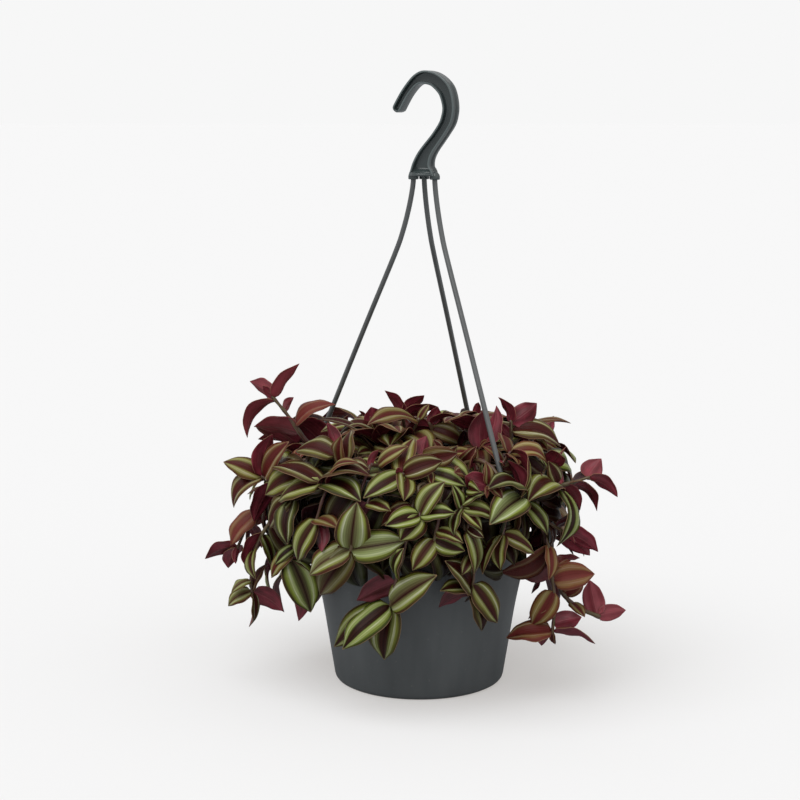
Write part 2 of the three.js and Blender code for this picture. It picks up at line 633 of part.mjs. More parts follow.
// Leafy stems that the picture shows. Pixels give the stem's course and each leaf's root and
// tip; wide is the width that shows, in pixels; side says which face of the leaf is seen.
// depth, where given, is how far behind the pot's axis the shoot lies, in millimetres, and
// reach how much further back a leaf's tip lies than its root.
const SEEN = {
  upper_left: {
    depth: -8,
    stem: [[309, 445], [298, 428], [284, 411], [272, 396]],
    leaves: [
      { root: [273, 394], tip: [298, 362], wide: 11, side: UNDER, arch: 0.03 },
      { root: [272, 395], tip: [250, 381], wide: 14, side: UNDER, reach: 14 },
      { root: [274, 400], tip: [247, 438], wide: 12, side: UNDER, arch: 0.26 },
      { root: [284, 411], tip: [293, 397], wide: 8, side: UNDER, reach: 12 },
      { root: [295, 424], tip: [336, 405], wide: 13, side: FRONT, arch: 0.2 },
      { root: [300, 432], tip: [254, 427], wide: 16, side: UNDER, arch: 0.14 },
    ],
  },
  leg_foot: {
    stem: [[345, 462], [334, 455]],
    leaves: [
      { root: [334, 455], tip: [295, 451], wide: 19, side: FRONT, arch: 0.14 },
      { root: [334, 455], tip: [328, 422], wide: 12, side: UNDER, reach: 12 },
      { root: [345, 462], tip: [352, 430], wide: 14, side: FRONT },
    ],
  },
  left_cluster: {
    depth: -28,
    stem: [[290, 486], [275, 482], [260, 476]],
    leaves: [
      { root: [260, 476], tip: [272, 434], wide: 13, side: UNDER, arch: 0.1 },
      { root: [260, 476], tip: [223, 461], wide: 19, side: FRONT, reach: 6 },
      { root: [260, 476], tip: [233, 508], wide: 15, side: FRONT, arch: 0.24 },
      { root: [264, 478], tip: [288, 441], wide: 17, side: FRONT, reach: -12 },
      { root: [276, 482], tip: [254, 522], wide: 17, side: UNDER, arch: 0.12 },
    ],
  },
  left_rosette: {
    stem: [[332, 492], [319, 483]],
    leaves: [
      { root: [319, 483], tip: [272, 467], wide: 15, side: FRONT },
      { root: [319, 484], tip: [276, 500], wide: 17, side: FRONT },
      { root: [322, 483], tip: [371, 475], wide: 9, side: FRONT, arch: 0.16 },
      { root: [324, 487], tip: [361, 500], wide: 15, side: FRONT },
      { root: [328, 489], tip: [366, 471], wide: 9, side: FRONT, arch: 0.22 },
    ],
  },
  centre_rosette: {
    stem: [[406, 486], [401, 473]],
    leaves: [
      { root: [399, 473], tip: [363, 498], wide: 19, side: FRONT },
      { root: [401, 472], tip: [415, 438], wide: 19, side: FRONT },
      { root: [404, 474], tip: [443, 461], wide: 20, side: FRONT, arch: 0.16 },
      { root: [402, 475], tip: [404, 501], wide: 17, side: FRONT },
    ],
  },
  node_below: {
    stem: [[372, 490], [367, 506]],
    leaves: [
      { root: [366, 504], tip: [391, 511], wide: 12, side: FRONT },
      { root: [372, 510], tip: [346, 532], wide: 14, side: UNDER },
    ],
  },
  front_left: {
    stem: [[352, 530], [351, 552]],
    leaves: [
      { root: [350, 549], tip: [357, 502], wide: 31, side: FRONT },
      { root: [352, 552], tip: [400, 536], wide: 28, side: FRONT },
      { root: [351, 553], tip: [320, 595], wide: 29, side: FRONT },
      { root: [350, 549], tip: [322, 584], wide: 15, side: FRONT, reach: 10 },
      { root: [352, 553], tip: [395, 580], wide: 17, side: FRONT, reach: 6 },
    ],
  },
  front_middle: {
    stem: [[419, 500], [420, 518]],
    leaves: [
      { root: [419, 516], tip: [384, 527], wide: 19, side: FRONT },
      { root: [420, 516], tip: [456, 512], wide: 15, side: FRONT },
      { root: [420, 514], tip: [445, 481], wide: 19, side: FRONT },
      { root: [420, 518], tip: [400, 541], wide: 25, side: FRONT },
      { root: [419, 505], tip: [421, 480], wide: 14, side: UNDER },
    ],
  },
  front_lower_middle: {
    stem: [[440, 520], [434, 542]],
    leaves: [
      { root: [434, 542], tip: [465, 551], wide: 20, side: FRONT },
      { root: [433, 542], tip: [412, 571], wide: 20, side: FRONT },
      { root: [437, 532], tip: [463, 546], wide: 10, side: FRONT, reach: -8 },
    ],
  },
  front_right_rosette: {
    stem: [[466, 496], [461, 511]],
    leaves: [
      { root: [462, 511], tip: [497, 517], wide: 14, side: FRONT },
      { root: [461, 508], tip: [452, 484], wide: 10, side: FRONT },
      { root: [463, 505], tip: [485, 492], wide: 8, side: FRONT },
      { root: [462, 510], tip: [482, 530], wide: 12, side: FRONT },
      { root: [461, 512], tip: [454, 536], wide: 10, side: FRONT },
    ],
  },
  red_round: {
    stem: [[493, 474], [488, 488]],
    leaves: [
      { root: [488, 488], tip: [465, 476], wide: 18, side: UNDER },
      { root: [489, 488], tip: [503, 498], wide: 8, side: FRONT },
      { root: [488, 486], tip: [486, 461], wide: 9, side: FRONT },
    ],
  },
  right_big: {
    stem: [[526, 484], [522, 500]],
    leaves: [
      { root: [522, 499], tip: [489, 535], wide: 27, side: FRONT },
      { root: [523, 500], tip: [514, 539], wide: 12, side: FRONT, reach: 8 },
      { root: [524, 494], tip: [488, 489], wide: 11, side: FRONT, arch: 0.2 },
      { root: [525, 490], tip: [517, 457], wide: 12, side: UNDER },
    ],
  },
  round_green: {
    stem: [[562, 480], [557, 489]],
    leaves: [
      { root: [557, 489], tip: [528, 500], wide: 24, side: FRONT, arch: 0.16 },
      { root: [560, 484], tip: [548, 461], wide: 14, side: FRONT },
      { root: [558, 489], tip: [558, 548], wide: 13, side: FRONT, arch: 0.24 },
      { root: [557, 489], tip: [541, 524], wide: 12, side: UNDER, reach: 8 },
    ],
  },
  right_spray: {
    depth: -42,
    stem: [[548, 492], [563, 485], [578, 479], [590, 477]],
    leaves: [
      { root: [563, 485], tip: [566, 447], wide: 12, side: UNDER, arch: 0.18 },
      { root: [566, 484], tip: [599, 511], wide: 9, side: UNDER, arch: 0.24 },
      { root: [590, 477], tip: [601, 459], wide: 21, side: UNDER, reach: 14 },
      { root: [590, 477], tip: [618, 497], wide: 11, side: UNDER, arch: 0.16 },
      { root: [562, 487], tip: [581, 510], wide: 13, side: UNDER, arch: 0.14 },
      { root: [572, 481], tip: [590, 475], wide: 9, side: UNDER, reach: 14 },
    ],
  },
  right_low: {
    depth: -54,
    stem: [[541, 515], [556, 524], [567, 534]],
    leaves: [
      { root: [567, 534], tip: [598, 552], wide: 12, side: UNDER, arch: 0.12 },
      { root: [566, 536], tip: [590, 555], wide: 21, side: UNDER, reach: 10 },
      { root: [556, 524], tip: [581, 527], wide: 9, side: UNDER },
      { root: [548, 520], tip: [553, 550], wide: 9, side: FRONT, arch: 0.24 },
    ],
  },
  upper_right: {
    depth: -18,
    stem: [[505, 458], [511, 440], [513, 430], [511, 420]],
    leaves: [
      { root: [511, 420], tip: [499, 396], wide: 9, side: UNDER },
      { root: [511, 420], tip: [537, 403], wide: 21, side: UNDER, arch: 0.05 },
      { root: [512, 421], tip: [527, 418], wide: 10, side: UNDER, reach: 14 },
      { root: [513, 433], tip: [562, 446], wide: 18, side: FRONT, arch: 0.18 },
      { root: [510, 441], tip: [497, 422], wide: 12, side: UNDER, reach: 10 },
    ],
  },
  behind_right: {
    depth: 24,
    stem: [[527, 452], [533, 441], [540, 432]],
    leaves: [
      { root: [540, 432], tip: [554, 416], wide: 15, side: UNDER, reach: 8 },
      { root: [533, 441], tip: [548, 450], wide: 12, side: FRONT, reach: -12 },
      { root: [534, 440], tip: [565, 461], wide: 5, side: FRONT },
    ],
  },
  right_top: {
    stem: [[500, 462], [512, 452]],
    leaves: [
      { root: [512, 452], tip: [549, 462], wide: 13, side: FRONT, arch: 0.26 },
      { root: [510, 454], tip: [530, 498], wide: 14, side: UNDER, arch: 0.2 },
      { root: [508, 455], tip: [500, 432], wide: 10, side: FRONT },
      { root: [506, 457], tip: [517, 478], wide: 11, side: FRONT },
    ],
  },
  right_silver: {
    stem: [[550, 462], [542, 474]],
    leaves: [
      { root: [541, 473], tip: [522, 455], wide: 13, side: FRONT },
      { root: [542, 473], tip: [532, 500], wide: 12, side: UNDER, reach: 8 },
    ],
  },
  lower_right: {
    depth: -58,
    stem: [[540, 520], [548, 545], [551, 572], [556, 588], [554, 612], [552, 634]],
    leaves: [
      { root: [550, 566], tip: [520, 577], wide: 20, side: UNDER },
      { root: [549, 545], tip: [549, 580], wide: 11, side: FRONT, reach: -12 },
      { root: [554, 580], tip: [595, 574], wide: 25, side: FRONT, arch: 0.08 },
      { root: [551, 568], tip: [570, 560], wide: 12, side: FRONT, reach: 16 },
      { root: [556, 589], tip: [531, 626], wide: 23, side: FRONT },
      { root: [555, 604], tip: [524, 615], wide: 10, side: FRONT, reach: 12 },
      { root: [552, 634], tip: [505, 637], wide: 19, side: FRONT, arch: 0.12 },
      { root: [552, 634], tip: [541, 645], wide: 9, side: UNDER, reach: 14 },
      { root: [553, 633], tip: [597, 634], wide: 12, side: UNDER },
      { root: [553, 624], tip: [582, 617], wide: 18, side: UNDER },
    ],
  },
  lower_right_arm: {
    depth: -40,
    stem: [[552, 552], [560, 590], [578, 608], [600, 617]],
    leaves: [
      { root: [600, 617], tip: [590, 580], wide: 20, side: UNDER },
      { root: [600, 617], tip: [626, 610], wide: 15, side: UNDER },
      { root: [570, 601], tip: [585, 617], wide: 10, side: FRONT, reach: -12 },
    ],
  },
  hanging_a: {
    stem: [[472, 512], [467, 533]],
    leaves: [
      { root: [467, 533], tip: [476, 575], wide: 14, side: FRONT },
      { root: [468, 528], tip: [484, 538], wide: 10, side: FRONT },
    ],
  },
  hanging_b: {
    stem: [[508, 518], [502, 537]],
    leaves: [
      { root: [502, 537], tip: [481, 574], wide: 9, side: FRONT },
      { root: [503, 537], tip: [501, 570], wide: 16, side: FRONT, arch: 0.14 },
      { root: [504, 535], tip: [534, 554], wide: 14, side: FRONT },
    ],
  },
  left_hanging: {
    stem: [[320, 505], [316, 522]],
    leaves: [
      { root: [316, 522], tip: [296, 562], wide: 20, side: FRONT },
      { root: [318, 518], tip: [338, 528], wide: 14, side: FRONT },
      { root: [318, 520], tip: [322, 552], wide: 12, side: UNDER },
    ],
  },
  left_green: {
    stem: [[296, 492], [292, 500]],
    leaves: [
      { root: [292, 500], tip: [292, 546], wide: 14, side: FRONT },
      { root: [290, 499], tip: [270, 529], wide: 16, side: FRONT },
      { root: [291, 500], tip: [278, 540], wide: 12, side: UNDER, reach: 8 },
    ],
  },
  left_pink: {
    depth: -10,
    stem: [[262, 508], [248, 524], [238, 540], [237, 549]],
    leaves: [
      { root: [237, 549], tip: [205, 559], wide: 13, side: UNDER, arch: 0.16 },
      { root: [237, 549], tip: [228, 568], wide: 14, side: UNDER, reach: 12 },
      { root: [256, 513], tip: [233, 548], wide: 11, side: FRONT, arch: 0.12 },
      { root: [250, 521], tip: [262, 548], wide: 9, side: UNDER },
    ],
  },
  left_long: {
    depth: -34,
    stem: [[276, 512], [262, 534], [252, 562], [252, 594]],
    leaves: [
      { root: [263, 531], tip: [246, 570], wide: 13, side: UNDER },
      { root: [252, 594], tip: [227, 606], wide: 14, side: FRONT },
      { root: [252, 595], tip: [258, 629], wide: 13, side: FRONT },
      { root: [252, 594], tip: [283, 611], wide: 18, side: UNDER, arch: 0.12 },
      { root: [252, 590], tip: [262, 562], wide: 11, side: FRONT },
      { root: [262, 535], tip: [272, 566], wide: 12, side: FRONT },
    ],
  },
  left_big: {
    depth: -52,
    stem: [[304, 520], [296, 542], [290, 562]],
    leaves: [
      { root: [290, 562], tip: [311, 613], wide: 31, side: FRONT, arch: 0.06 },
      { root: [291, 560], tip: [299, 621], wide: 12, side: UNDER, reach: 14 },
      { root: [293, 552], tip: [270, 578], wide: 13, side: FRONT },
      { root: [291, 560], tip: [316, 603], wide: 12, side: UNDER, reach: 22 },
      { root: [295, 546], tip: [277, 566], wide: 11, side: FRONT },
    ],
  },
  front_bottom: {
    stem: [[405, 545], [399, 575], [391, 592], [390, 608]],
    leaves: [
      { root: [392, 607], tip: [437, 575], wide: 27, side: FRONT },
      { root: [389, 606], tip: [327, 642], wide: 21, side: FRONT, reach: 4 },
      { root: [389, 608], tip: [340, 649], wide: 25, side: FRONT, reach: -8 },
      { root: [391, 609], tip: [383, 662], wide: 29, side: FRONT },
      { root: [396, 582], tip: [356, 600], wide: 20, side: UNDER },
      { root: [399, 576], tip: [402, 548], wide: 10, side: FRONT },
    ],
  },
  front_low_right: {
    stem: [[472, 556], [474, 576], [471, 594]],
    leaves: [
      { root: [470, 593], tip: [451, 560], wide: 17, side: FRONT },
      { root: [471, 595], tip: [484, 632], wide: 15, side: FRONT },
      { root: [473, 584], tip: [497, 623], wide: 21, side: FRONT, reach: 6 },
      { root: [470, 594], tip: [440, 591], wide: 9, side: FRONT },
      { root: [472, 572], tip: [444, 587], wide: 8, side: FRONT, reach: 6 },
      { root: [469, 594], tip: [438, 607], wide: 12, side: UNDER, reach: 8 },
    ],
  },
  centre_top: {
    stem: [[415, 468], [420, 456]],
    leaves: [
      { root: [420, 456], tip: [458, 453], wide: 20, side: FRONT },
      { root: [419, 457], tip: [373, 443], wide: 11, side: FRONT, arch: 0.2 },
      { root: [419, 456], tip: [426, 436], wide: 12, side: UNDER },
    ],
  },
  top_burgundy: {
    depth: 6,
    stem: [[408, 428], [403, 414]],
    leaves: [
      { root: [402, 414], tip: [385, 390], wide: 10, side: UNDER },
      { root: [403, 413], tip: [424, 394], wide: 13, side: UNDER },
      { root: [404, 415], tip: [437, 403], wide: 5, side: UNDER },
      { root: [405, 420], tip: [376, 417], wide: 9, side: FRONT, arch: 0.2 },
    ],
  },
  top_left: {
    depth: -12,
    stem: [[378, 438], [376, 428]],
    leaves: [
      { root: [376, 430], tip: [371, 407], wide: 20, side: UNDER },
      { root: [376, 430], tip: [364, 411], wide: 8, side: UNDER },
      { root: [377, 434], tip: [336, 438], wide: 14, side: FRONT, arch: 0.28 },
      { root: [377, 436], tip: [402, 431], wide: 8, side: FRONT, arch: 0.2 },
      { root: [378, 438], tip: [358, 464], wide: 15, side: FRONT },
    ],
  },
  top_middle: {
    depth: -6,
    stem: [[432, 436], [429, 422]],
    leaves: [
      { root: [429, 424], tip: [438, 406], wide: 12, side: UNDER },
      { root: [430, 424], tip: [456, 406], wide: 9, side: UNDER },
      { root: [431, 430], tip: [464, 444], wide: 18, side: FRONT, arch: 0.2 },
      { root: [430, 428], tip: [405, 430], wide: 11, side: UNDER, arch: 0.16 },
    ],
  },
  top_mauve: {
    depth: -34,
    stem: [[484, 458], [480, 448]],
    leaves: [
      { root: [480, 449], tip: [484, 411], wide: 19, side: UNDER },
      { root: [480, 450], tip: [479, 401], wide: 9, side: UNDER, reach: 12 },
      { root: [481, 452], tip: [457, 452], wide: 11, side: FRONT },
      { root: [481, 452], tip: [500, 440], wide: 10, side: UNDER },
    ],
  },
};

const FOLLOW_LIFT = 3;
const STEM_LIFT = -5;
const ROOT_INSET = 2.2;
const NODE_SEARCH_STEP = 1.5;

function seenStemPoint(pixel, shoot) {
  return shoot.depth === undefined ? onCrown(pixel, STEM_LIFT) : seen(pixel, shoot.depth);
}

// Share of a curve at a distance along it, held back from its end so that a leaf roots inside
function shareAt(curve, distance) {
  const length = curve.getLength();
  return THREE.MathUtils.clamp(distance, 0, length - ROOT_INSET) / length;
}

// The point along a curve for which a measure is least
function nearestPoint(curve, measure) {
  let best = curve.getPointAt(0);
  for (let distance = 0; distance < curve.getLength(); distance += NODE_SEARCH_STEP) {
    const point = curve.getPointAt(shareAt(curve, distance));
    if (measure(point) < measure(best)) best = point;
  }
  return best;
}

// The point of a stem that shows nearest to a pixel
const nodeNear = (stem, pixel) =>
  nearestPoint(stem.curve, (point) => point.distanceTo(seen(pixel, point.y)));

function seenLeaf(stem, entry, shoot) {
  const root = nodeNear(stem, entry.root);
  const follows = shoot.depth === undefined && entry.reach === undefined;
  const depth = follows ? onCrown(entry.tip, FOLLOW_LIFT).y : root.y + (entry.reach ?? 0);
  const flat = seen(entry.tip, root.y).distanceTo(root);
  const most = Math.sqrt(Math.max(BLADE_LIMIT ** 2 - flat ** 2, 0));
  const tip = seen(entry.tip, root.y + THREE.MathUtils.clamp(depth - root.y, -most, most));
  const shown = entry.wide / PIXELS_PER_MM;
  const width = Math.max(shown, Math.min(tip.distanceTo(root) * SLENDERNESS, 20));
  const axis = tip.clone().sub(root).normalize();
  const toEye = EYE.clone().sub(root).normalize();
  if (entry.side === UNDER) toEye.negate();
  const facing = toEye.addScaledVector(axis, -toEye.dot(axis)).normalize();
  return leafOf(root, tip, width, turnedToShow(facing, axis, shown, width), entry.arch);
}

// Outward direction of the crown's surface at a point
function crownNormal(point) {
  const step = 3;
  const spread = crownRadius(point.z - step) - crownRadius(point.z + step);
  const flat = new THREE.Vector3(point.x, point.y, 0).normalize();
  return flat.multiplyScalar(2 * step).add(new THREE.Vector3(0, 0, spread)).normalize();
}

// Leaves placed by rule stay under the outline that the plant shows against the sky
const SKYLINE = 178;
const underSkyline = (leaf) => leaf.tip.z < SKYLINE - leaf.tip.y * Math.tan(EYE_PITCH);

const NODE_SPACING = 14;

// How leaves placed by rule vary along a stem: shares of their way out, size and arch
const RULE = { spread: [0.75, 1.25], lift: [0.15, 0.6], size: [0.8, 1.08], arch: [0.1, 0.2] };
const END_SPREAD = 0.15;
const between = (random, [low, high]) => low + (high - low) * random();

// Alternate leaves along a curve of the stem from a distance past its start, by rule
function dressByRule(stem, curve, random, from, isAllowed) {
  const length = curve.getLength();
  const count = Math.max(Math.floor((length - from) / NODE_SPACING), 1);
  for (let node = 0; node <= count; node += 1) {
    const share = shareAt(curve, from + node * NODE_SPACING);
    const root = curve.getPointAt(share);
    const along = curve.getTangentAt(share);
    const outward = crownNormal(root);
    const across = along.clone().cross(outward).normalize();
    const side = node % 2 === 0 ? 1 : -1;
    const spread = node === count ? END_SPREAD : between(random, RULE.spread);
    const direction = along.clone().multiplyScalar(0.6);
    direction.addScaledVector(across, side * spread);
    direction.addScaledVector(outward, between(random, RULE.lift)).normalize();
    const size = FULL_LENGTH * between(random, RULE.size);
    const lean = 0.4 * (random() - 0.5);
    const facing = outward.clone().addScaledVector(UP, 0.5).addScaledVector(across, lean);
    const tip = root.clone().addScaledVector(direction, size);
    const arch = between(random, RULE.arch);
    addLeaf(stem, leafOf(root, tip, size * SLENDERNESS, facing, arch), isAllowed);
  }
}

// Leaves spread round the top of an upright stem, each a golden angle past the last
const ROSETTE_NODES = [0, 4, 9, 15, 21];
const GOLDEN_ANGLE = 137.5;

function dressRosette(stem, random) {
  const length = stem.curve.getLength();
  let turn = 360 * random();
  for (const back of ROSETTE_NODES) {
    const root = stem.curve.getPointAt(shareAt(stem.curve, length - back));
    const direction = around(turn, 1, 0.12 + 0.03 * (20 - back) * random()).normalize();
    const size = FULL_LENGTH * (0.85 + 0.2 * random());
    const tip = root.clone().addScaledVector(direction, size);
    addLeaf(stem, leafOf(root, tip, size * SLENDERNESS, UP, 0.14), underSkyline);
    turn += GOLDEN_ANGLE;
  }
}

// Stems that trail over the rim where the picture doesn't reach: round the sides and the back
const TRAIL_COUNT = 9;
const TRAIL_FROM = 108;
const TRAIL_TO = 268;
const TRAIL_HEIGHTS = { top: 152, lowest: 58, shortest: 108 };

function trailingPath(index, random) {
  const bearing = TRAIL_FROM + ((index + 0.5) * (TRAIL_TO - TRAIL_FROM)) / TRAIL_COUNT;
  const { top, lowest, shortest } = TRAIL_HEIGHTS;
  const end = index % 2 === 0 ? lowest + 22 * random() : shortest - 22 * random();
  const drift = 14 * (random() - 0.5);
  const points = [];
  for (let step = 0; step <= 3; step += 1) {
    const share = step / 3;
    const height = top + (end - top) * share;
    points.push(around(bearing + drift * share, crownRadius(height) + STEM_LIFT, height));
  }
  return points;
}

// Short upright stems that fill the top of the crown: [bearing, radius] of each tip
const CROWN_TIPS = [
  [0, 8],
  [60, 40],
  [120, 44],
  [180, 30],
  [235, 44],
  [300, 42],
  [345, 44],
  [100, 70],
  [155, 70],
  [205, 70],
];

function crownTipPath([bearing, radius], random) {
  const height = heightOnCrown(radius) - 9 + 5 * random();
  return [around(bearing, radius * 0.9, height - 10), around(bearing, radius, height)];
}

function heightOnCrown(radius) {
  let height = CROWN[CROWN.length - 2][0];
  while (crownRadius(height) < radius) height -= 1;
  return height;
}

function growSeen() {
  const stems = [];
  for (const [name, shoot] of Object.entries(SEEN)) {
    const visible = shoot.stem.map((pixel) => seenStemPoint(pixel, shoot));
    const stem = growStem(name, visible);
    if (stem) stems.push(stem);
  }
  const entries = stems.flatMap((stem) => SEEN[stem.name].leaves.map((entry) => ({ stem, entry })));
  entries.sort((a, b) => b.entry.wide - a.entry.wide);
  for (const { stem, entry } of entries) addLeaf(stem, seenLeaf(stem, entry, SEEN[stem.name]));
  return stems;
}

// Side shoots fill the crown between the stems that show, close against the pot's wall
const SHOOT_DROP = 32;
const SHOOT_GAP = 8;
const COVER_DEPTH = 1;
const COVER_EDGE = 112;

const underCover = ({ tip }) =>
  Math.hypot(tip.x, tip.y) < crownRadius(tip.z) - COVER_DEPTH && tip.z > COVER_EDGE;

function growShoot(stem, random) {
  if (!stem.crossesRim) return;
  const start = nearestPoint(stem.curve, (point) => point.distanceTo(stem.path[3]));
  const bearing = bearingOf(start);
  for (const turn of [6, -6, 9, -9, 12, -12, 3, -3]) {
    const points = [start];
    for (const share of [0.15, 0.5, 1]) {
      const height = RIM_CROSSING - share * SHOOT_DROP;
      const radius = Math.max(wallRadius(height) + SHOOT_GAP, RIM_RADIUS + 4);
      points.push(around(bearing + turn * Math.min(1, share + 0.3), radius, height));
    }
    const shoot = clearStem(points, [stem.name]);
    if (!shoot) continue;
    keep(shoot.geometry, stem.name);
    stem.shoots.push(shoot.geometry);
    dressByRule(stem, shoot.curve, random, 12, underCover);
    return;
  }
}

// Leaves lower on a stem, in the shade of the crown: distances back from where it comes to sight
const SHADE_NODES = [4, 16];

function dressShade(stem, random) {
  const length = stem.curve.getLength();
  for (const [node, back] of SHADE_NODES.entries()) {
    const root = stem.curve.getPointAt(shareAt(stem.curve, length - stem.shown - back));
    if (root.z < SOIL_TOP + 8) continue;
    const outward = crownNormal(root);
    const across = new THREE.Vector3(-root.y, root.x, 0).normalize();
    const side = (node + stem.leaves.length) % 2 === 0 ? 1 : -1;
    const direction = across.multiplyScalar(side * (0.5 + 0.5 * random()));
    direction.addScaledVector(UP, -0.8 * random()).addScaledVector(outward, 0.2).normalize();
    const size = FULL_LENGTH * (0.8 + 0.2 * random());
    const tip = root.clone().addScaledVector(direction, size);
    addLeaf(stem, leafOf(root, tip, size * SLENDERNESS, outward), underSkyline);
  }
}

function growByRule(random) {
  const stems = [];
  for (let index = 0; index < TRAIL_COUNT; index += 1) {
    const stem = growStem(`trailing_${index + 1}`, trailingPath(index, random));
    if (!stem) continue;
    dressByRule(stem, stem.curve, random, stem.curve.getLength() - trailLength(stem), underSkyline);
    stems.push(stem);
  }
  CROWN_TIPS.forEach((place, index) => {
    const stem = growStem(`crown_${index + 1}`, crownTipPath(place, random));
    if (!stem) return;
    dressRosette(stem, random);
    stems.push(stem);
  });
  return stems;
}

// Length of the part of a trailing stem that lies outside the rim
const trailLength = (stem) => pathLength(stem.path.slice(3)) + 14;

function leafyNode(stem) {
  let solid = solidOf(stem.geometry);
  for (const shoot of stem.shoots) solid = solid.add(solidOf(shoot));
  for (const leaf of stem.leaves) solid = solid.add(solidOf(bladeGeometry(leaf)));
  const root = stem.path[0];
  const mesh = nodeOf(`leafy_stem_${stem.name}`, solid, MATERIALS.foliage);
  mesh.geometry.translate(-root.x, -root.y, -root.z);
  mesh.position.copy(root);
  return mesh;
}

function soilBody() {
  const bottom = FOOT_RECESS + FLOOR_THICKNESS + CLEARANCE;
  const radiusAt = (height) => wallRadius(height) - WALL_THICKNESS - CLEARANCE;
  const profile = [
    [0, bottom],
    [radiusAt(bottom) - 3.4, bottom],
    [radiusAt(bottom + 4) - 0.2, bottom + 4],
    [radiusAt(SOIL_TOP - SOIL_EDGE_DROP) - 0.2, SOIL_TOP - SOIL_EDGE_DROP],
    [62, SOIL_TOP - 0.8],
    [40, SOIL_TOP],
    [18, SOIL_TOP + 0.6],
    [0, SOIL_TOP + 0.8],
  ];
  const geometry = turned(profile, SOIL_SIDES);
  const position = geometry.attributes.position;
  for (let index = 0; index < position.count; index += 1) {
    const [x, y, z] = [position.getX(index), position.getY(index), position.getZ(index)];
    const inside = Math.hypot(x, y) < SOIL_LUMP_REACH && z > SOIL_TOP - 2;
    if (inside) position.setZ(index, z + SOIL_LUMP * Math.sin(x * 0.31) * Math.cos(y * 0.27));
  }
  return solidOf(geometry);
}

// The compost with a hole for each stem, which follows the stem's own course
function makeSoil(stems) {
  let soil = soilBody();
  const holeRadius = STEM_RADIUS + CLEARANCE / Math.cos(Math.PI / STEM_SIDES);
  for (const { path, steps } of stems) {
    const base = path[0].clone().addScaledVector(UP, -CLEARANCE);
    const hole = rod([base, ...path.slice(1)], holeRadius, STEM_SIDES, steps);
    soil = soil.subtract(solidOf(hole));
  }
  return soil;
}

function build() {
  const plant = new THREE.Group();
  const pot = makePot();
  const hook = makeHook();
  keep(geometryOf(pot), "pot", pot);
  keep(geometryOf(hook), "hook", hook);
  plant.add(nodeOf("pot", pot, MATERIALS.pot));
  const hanger = new THREE.Group();
  hanger.add(nodeOf("hook", hook, MATERIALS.hanger));
  for (const side of Object.keys(LEG_BEARINGS)) {
    const leg = makeLeg(side);
    keep(geometryOf(leg), `leg_${side}`, leg);
    hanger.add(nodeOf(`leg_${side}`, leg, MATERIALS.hanger));
  }
  plant.add(hanger);
  const soil = soilBody();
  keep(geometryOf(soil), "soil", soil);
  const random = randomStream(7);
  const stems = [...growSeen(), ...growByRule(random)];
  for (const stem of stems) growShoot(stem, random);
  for (const stem of stems) dressShade(stem, random);
  plant.add(nodeOf("soil", makeSoil(stems), MATERIALS.soil));
  const foliage = new THREE.Group();
  for (const stem of stems) foliage.add(leafyNode(stem));
  plant.add(foliage);
  return plant;
}

export default build();
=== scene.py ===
"""A potted tradescantia in its hanging pot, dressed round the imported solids.

Metres, +Z up, origin at the centre of the pot's underside, +Y away from the camera.
"""

from __future__ import annotations

import itertools
import logging
import math
import random
from dataclasses import dataclass, field
from enum import Enum
from typing import Iterable, Sequence

import bmesh
import bpy
import numpy as np
from mathutils import Euler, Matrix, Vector
from mathutils.bvhtree import BVHTree
from mathutils.kdtree import KDTree
from mathutils.noise import noise
from numpy.linalg import norm


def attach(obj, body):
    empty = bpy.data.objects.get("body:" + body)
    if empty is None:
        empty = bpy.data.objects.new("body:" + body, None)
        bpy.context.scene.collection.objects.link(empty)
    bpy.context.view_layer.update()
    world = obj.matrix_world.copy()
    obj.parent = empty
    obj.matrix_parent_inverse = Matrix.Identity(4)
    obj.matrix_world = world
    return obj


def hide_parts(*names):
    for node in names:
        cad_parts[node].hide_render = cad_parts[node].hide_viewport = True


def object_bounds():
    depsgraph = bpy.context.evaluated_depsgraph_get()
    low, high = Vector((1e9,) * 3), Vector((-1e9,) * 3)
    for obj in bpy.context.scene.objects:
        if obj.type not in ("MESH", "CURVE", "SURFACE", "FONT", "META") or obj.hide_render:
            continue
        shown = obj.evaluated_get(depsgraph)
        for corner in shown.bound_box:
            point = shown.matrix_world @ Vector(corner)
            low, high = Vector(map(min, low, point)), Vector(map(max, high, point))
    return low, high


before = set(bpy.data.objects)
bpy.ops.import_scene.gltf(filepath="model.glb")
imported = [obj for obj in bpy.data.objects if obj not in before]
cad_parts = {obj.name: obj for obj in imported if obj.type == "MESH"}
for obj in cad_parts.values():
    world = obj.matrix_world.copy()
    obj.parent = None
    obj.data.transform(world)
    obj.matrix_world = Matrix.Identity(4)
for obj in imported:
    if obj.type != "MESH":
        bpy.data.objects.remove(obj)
CAD_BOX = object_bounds()

Array = np.ndarray
Piece = bpy.types.Object
Socket = bpy.types.NodeSocket
Material = bpy.types.Material

MM = 0.001
LOG = logging.getLogger("tradescantia")
UP = np.array((0.0, 0.0, 1.0))
PATTERN_LENGTH = 30 * MM  # Length of stem over which the skin's pattern runs once
LOW, HIGH = (np.array(corner) for corner in CAD_BOX)


class Slot(Enum):
    """Names of the material slots."""

    POT = "pot_plastic"
    HANGER = "hanger_plastic"
    SOIL = "soil"
    FOLIAGE = "foliage"


def srgb(*channels: int) -> tuple[float, ...]:
    """A linear colour with full alpha, from red, green and blue of 0 to 255 as seen on a screen."""
    shares = [channel / 255 for channel in channels]
    linear = [share / 12.92 if share <= 0.04045 else ((share + 0.055) / 1.055) ** 2.4
              for share in shares]
    return (*linear, 1.0)


def unit(vector: Array) -> Array:
    """Gives a vector the length of one."""
    return vector / max(float(norm(vector)), 1e-12)


